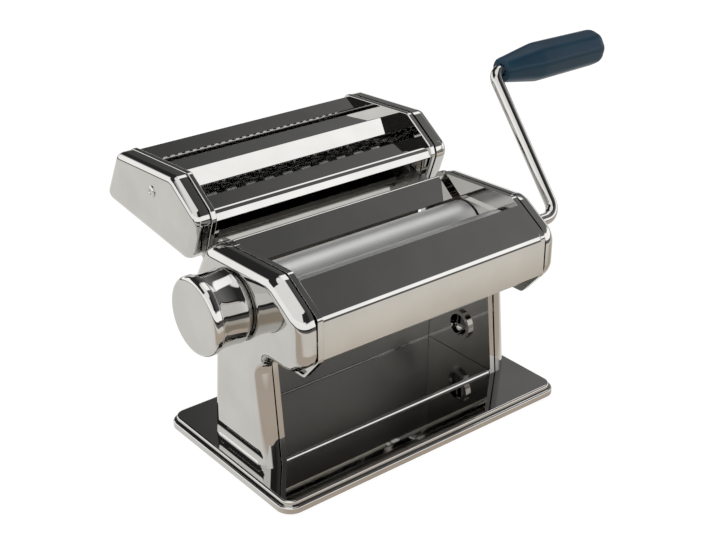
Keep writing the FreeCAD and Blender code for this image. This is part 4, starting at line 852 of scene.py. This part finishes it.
class PASTA_OT_crank(bpy.types.Operator):
    """The bent crank rod with its turning grip"""

    bl_idname = "pasta.crank"
    bl_label = "Crank"

    def execute(self, context):
        self.rod()
        self.grip()
        dressed("grip_rivet", "crank", "satin_steel")
        return {"FINISHED"}

    def rod(self):
        """A round bar: out of the head, up the arm and out again through the grip."""
        elbow, top, plane_x, end_x, radius = 9.0, 6.4, 118.0, 204.5, 3.75
        spigot_start, spigot_end, spigot = 64.4, 93.1, 4.0
        lying = Matrix.Rotation(math.pi / 2, 4, "Y")
        bm = bmesh.new()
        bmesh.ops.create_circle(bm, cap_ends=False, segments=32, radius=radius,
                                matrix=Matrix.Translation((spigot_end, 0, 0)) @ lying)
        edges = self.run(bm, bm.edges[:], Vector((plane_x - elbow - spigot_end, 0, 0)))
        edges = self.bend(bm, edges, Vector((plane_x - elbow, 0, elbow)), -math.pi / 2)
        edges = self.run(bm, edges, Vector((0, 0, CRANK_ARM - elbow - top)))
        edges = self.bend(bm, edges, Vector((plane_x + top, 0, CRANK_ARM - top)), math.pi / 2)
        self.run(bm, edges, Vector((end_x - plane_x - top, 0, 0)))
        bmesh.ops.holes_fill(bm, edges=bm.edges[:], sides=0)
        middle = Matrix.Translation(((spigot_start + spigot_end) / 2, 0, 0))
        bmesh.ops.create_cone(bm, cap_ends=True, segments=32, radius1=spigot, radius2=spigot,
                              depth=spigot_end - spigot_start, matrix=middle @ lying)
        bmesh.ops.rotate(bm, verts=bm.verts[:], matrix=Matrix.Rotation(-CRANK_TILT, 3, "X"))
        bmesh.ops.translate(bm, vec=(0, *FRONT_AXIS), verts=bm.verts[:])
        put("crank_rod_shown", scaled(bm), "crank", "polished_steel", "crank_rod")

    def run(self, bm, edges, way):
        """Lengthen the bar straight on."""
        grown = bmesh.ops.extrude_edge_only(bm, edges=edges)
        bmesh.ops.translate(bm, vec=way, verts=verts_of(grown))
        return [item for item in grown["geom"] if isinstance(item, bmesh.types.BMEdge)]

    def bend(self, bm, edges, centre, angle):
        """Lengthen the bar round a bend."""
        verts = list(dict.fromkeys(v for e in edges for v in e.verts))
        made = bmesh.ops.spin(bm, geom=verts + edges, cent=centre, axis=(0, 1, 0), angle=angle, steps=10)
        return [item for item in made["geom_last"] if isinstance(item, bmesh.types.BMEdge)]

    def grip(self):
        """An eight-sided moulded grip: a cone that widens into a barrel with a rounded tail."""
        y = FRONT_AXIS[0] + CRANK_ARM * math.sin(CRANK_TILT)
        z = FRONT_AXIS[1] + CRANK_ARM * math.cos(CRANK_TILT)
        start, shoulder, tail, sides = 124.6, 151.6, 206.6, 8
        bore, recess, floor, outside = 4.2, 6.5, tail - 2.4, 6.9
        cone = [(start, bore), (start, 7.0), (start + 0.3, 7.6), (start + 1.0, 8.0)]
        barrel = [(shoulder - 2.5, 12.0), (shoulder, 12.3), (shoulder + 3.0, 12.35), (tail - 6.0, 11.8)]
        rounding = [(tail - 3.4, 11.4), (tail - 1.6, 10.6), (tail - 0.4, 9.2), (tail, 7.6)]
        profile = [*cone, *barrel, *rounding, (tail, recess), (floor, recess), (floor, bore), (start, bore)]
        bm = spun(profile, 0, 0, sides)
        ridges = [e for e in bm.edges if abs(e.verts[0].co.x - e.verts[1].co.x) > 0.1
                  and all(math.hypot(v.co.y, v.co.z) > outside for v in e.verts)]
        bevel(bm, ridges, 2.1, 4)
        bmesh.ops.rotate(bm, verts=bm.verts[:], matrix=Matrix.Rotation(GRIP_TURN, 3, "X"))
        bmesh.ops.translate(bm, vec=(0, y, z), verts=bm.verts[:])
        put("crank_grip_shown", scaled(bm), "grip", "grip_plastic", "crank_grip")


class PASTA_OT_cutter_sides(bpy.types.Operator):
    """The side covers and plates of the cutter head"""

    bl_idname = "pasta.cutter_sides"
    bl_label = "Cutter sides"

    def execute(self, context):
        edge, corner = context.scene.machine_finish.cutter_edge, 7.0
        for word, side in SIDE_WORDS.items():
            cover = f"cutter_{word}_cover"
            bm = cover_shell(CUTTER_OUTLINE, side, CUTTER_COVER_X, corner, edge)
            piece = put(f"{cover}_shown", scaled(bm), "cutter", "polished_steel", cover)
            if side == RIGHT:
                for axis in (WIDE_AXES[0], FINE_AXES[0]):
                    drill(piece, CUTTER_COVER_X, *axis, SOCKET_HOLE)
            rimmed(f"cutter_{word}_plate", "cutter", CUTTER_OUTLINE, WEB_X, FLANGE_X)
        self.screws()
        return {"FINISHED"}

    def screws(self):
        """A domed screw with a round recess in each cover."""
        low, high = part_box("cutter_cover_screws")
        y, z = (low[1] + high[1]) / 2 / MM, (low[2] + high[2]) / 2 / MM
        foot, neck, seat, sunk, top = 77.0, 88.6, 89.0, 89.8, 90.4
        shank, head, recess = 1.7, 3.4, 1.5
        stem = [(foot, 0), (foot, shank), (neck, shank)]
        dome = [(seat, head), (top - 0.5, head), (top, head - 0.8), (top, recess)]
        profile = [*stem, *dome, (sunk, recess - 0.3), (sunk, 0)]
        whole = bmesh.new()
        for side in (LEFT, RIGHT):
            screw = spun([(side * x, radius) for x, radius in profile], y, z, 48)
            mesh = bpy.data.meshes.new("screw")
            screw.to_mesh(mesh)
            screw.free()
            whole.from_mesh(mesh)
            bpy.data.meshes.remove(mesh)
        put("cutter_cover_screws_shown", scaled(whole), "cutter", "polished_steel", "cutter_cover_screws")


class PASTA_OT_cutter_sheets(bpy.types.Operator):
    """The panels and rods of the cutter head"""

    bl_idname = "pasta.cutter_sheets"
    bl_label = "Cutter sheets"

    def execute(self, context):
        bend = context.scene.machine_finish.bend
        nose = 3.4
        front = [(33.3, 131.0), (35.5, 136.2), (50.0, 138.2)]
        middle = [(64.6, 138.9), (75.5, 145.2), (96.0, 143.4)]
        rear = [(101.2, 144.6), (114.5, 147.9), (128.5, 121.8), (124.5, 116.2)]
        panels = {
            "cutter_front_panel": (front, [nose]),
            "cutter_middle_panel": (middle, [bend]),
            "cutter_rear_panel": (rear, [bend] * 2),
        }
        for name, (path, bends) in panels.items():
            bm = sheet(path, WEB_X, SHEET_WALL, bends)
            put(f"{name}_shown", scaled(bm), "cutter", "polished_steel", name)
        dressed("cutter_front_plate", "cutter", "polished_steel")
        for node in ("cutter_tie_rods", "cutter_seat_rods"):
            dressed(node, "cutter", "satin_steel")
        return {"FINISHED"}


class PASTA_OT_cutting_rollers(bpy.types.Operator):
    """The interleaved cutting rollers with their gears and combs"""

    bl_idname = "pasta.cutting_rollers"
    bl_label = "Cutting rollers"

    def execute(self, context):
        for kind, axes, strip, lands in (("wide", WIDE_AXES, 6.5, 11), ("fine", FINE_AXES, 2.5, 27)):
            for place, axis in zip(("front", "rear"), axes):
                count = lands if place == "front" else lands - 1
                bm = spun(self.profile(place, strip, count), *axis, 64)
                roller, body = f"{kind}_cutter_{place}", f"{kind}_{place}"
                put(f"{roller}_shown", scaled(bm), body, "cutting_steel", roller)
                dressed(f"{body}_gear", body, "satin_steel")
            dressed(f"{kind}_combs", "cutter", "bearing_plastic")
        return {"FINISHED"}

    def profile(self, place, strip, count):
        """Journals, a core and a row of square lands."""
        land, core, journal, end_x, socket, socket_depth, clearance = 9.5, 7.5, 5.6, 72.3, 4.1, 14, 0.2
        start, right = -79.0, 88.7 if place == "front" else 86.6
        points = [(start, 0), (start, journal), (-end_x, journal), (-end_x, core)]
        for number in range(count):
            middle = (number - (count - 1) / 2) * 2 * strip
            low, high = middle - (strip - clearance) / 2, middle + (strip - clearance) / 2
            points += [(low, core), (low, land), (high, land), (high, core)]
        points += [(end_x, core), (end_x, journal), (right, journal)]
        if place == "rear":
            return points + [(right, 0)]
        return points + [(right, socket), (right - socket_depth, socket), (right - socket_depth, 0)]


class PASTA_PT_panel(bpy.types.Panel):
    """Lists the operators in the sidebar"""

    bl_idname = "PASTA_PT_panel"
    bl_label = "Pasta machine"
    bl_space_type = "VIEW_3D"
    bl_region_type = "UI"
    bl_category = "Pasta machine"

    def draw(self, context):
        for operator in OPERATORS:
            self.layout.operator(operator.bl_idname)
        for key in ("cover_edge", "cutter_edge", "bend", "steel"):
            self.layout.prop(context.scene.machine_finish, key)


OPERATORS = (
    PASTA_OT_stage, PASTA_OT_base, PASTA_OT_head_sides, PASTA_OT_head_sheets, PASTA_OT_rollers,
    PASTA_OT_knob, PASTA_OT_crank, PASTA_OT_cutter_sides, PASTA_OT_cutter_sheets,
    PASTA_OT_cutting_rollers,
)


def register():
    for part in (MachineFinish, *OPERATORS, PASTA_PT_panel):
        bpy.utils.register_class(part)
    bpy.types.Scene.machine_finish = bpy.props.PointerProperty(type=MachineFinish)


def unregister():
    del bpy.types.Scene.machine_finish
    for part in (PASTA_PT_panel, *reversed(OPERATORS), MachineFinish):
        bpy.utils.unregister_class(part)


def main():
    register()
    for operator in OPERATORS:
        family, name = operator.bl_idname.split(".")
        getattr(getattr(bpy.ops, family), name)()


if __name__ == "__main__":
    main()
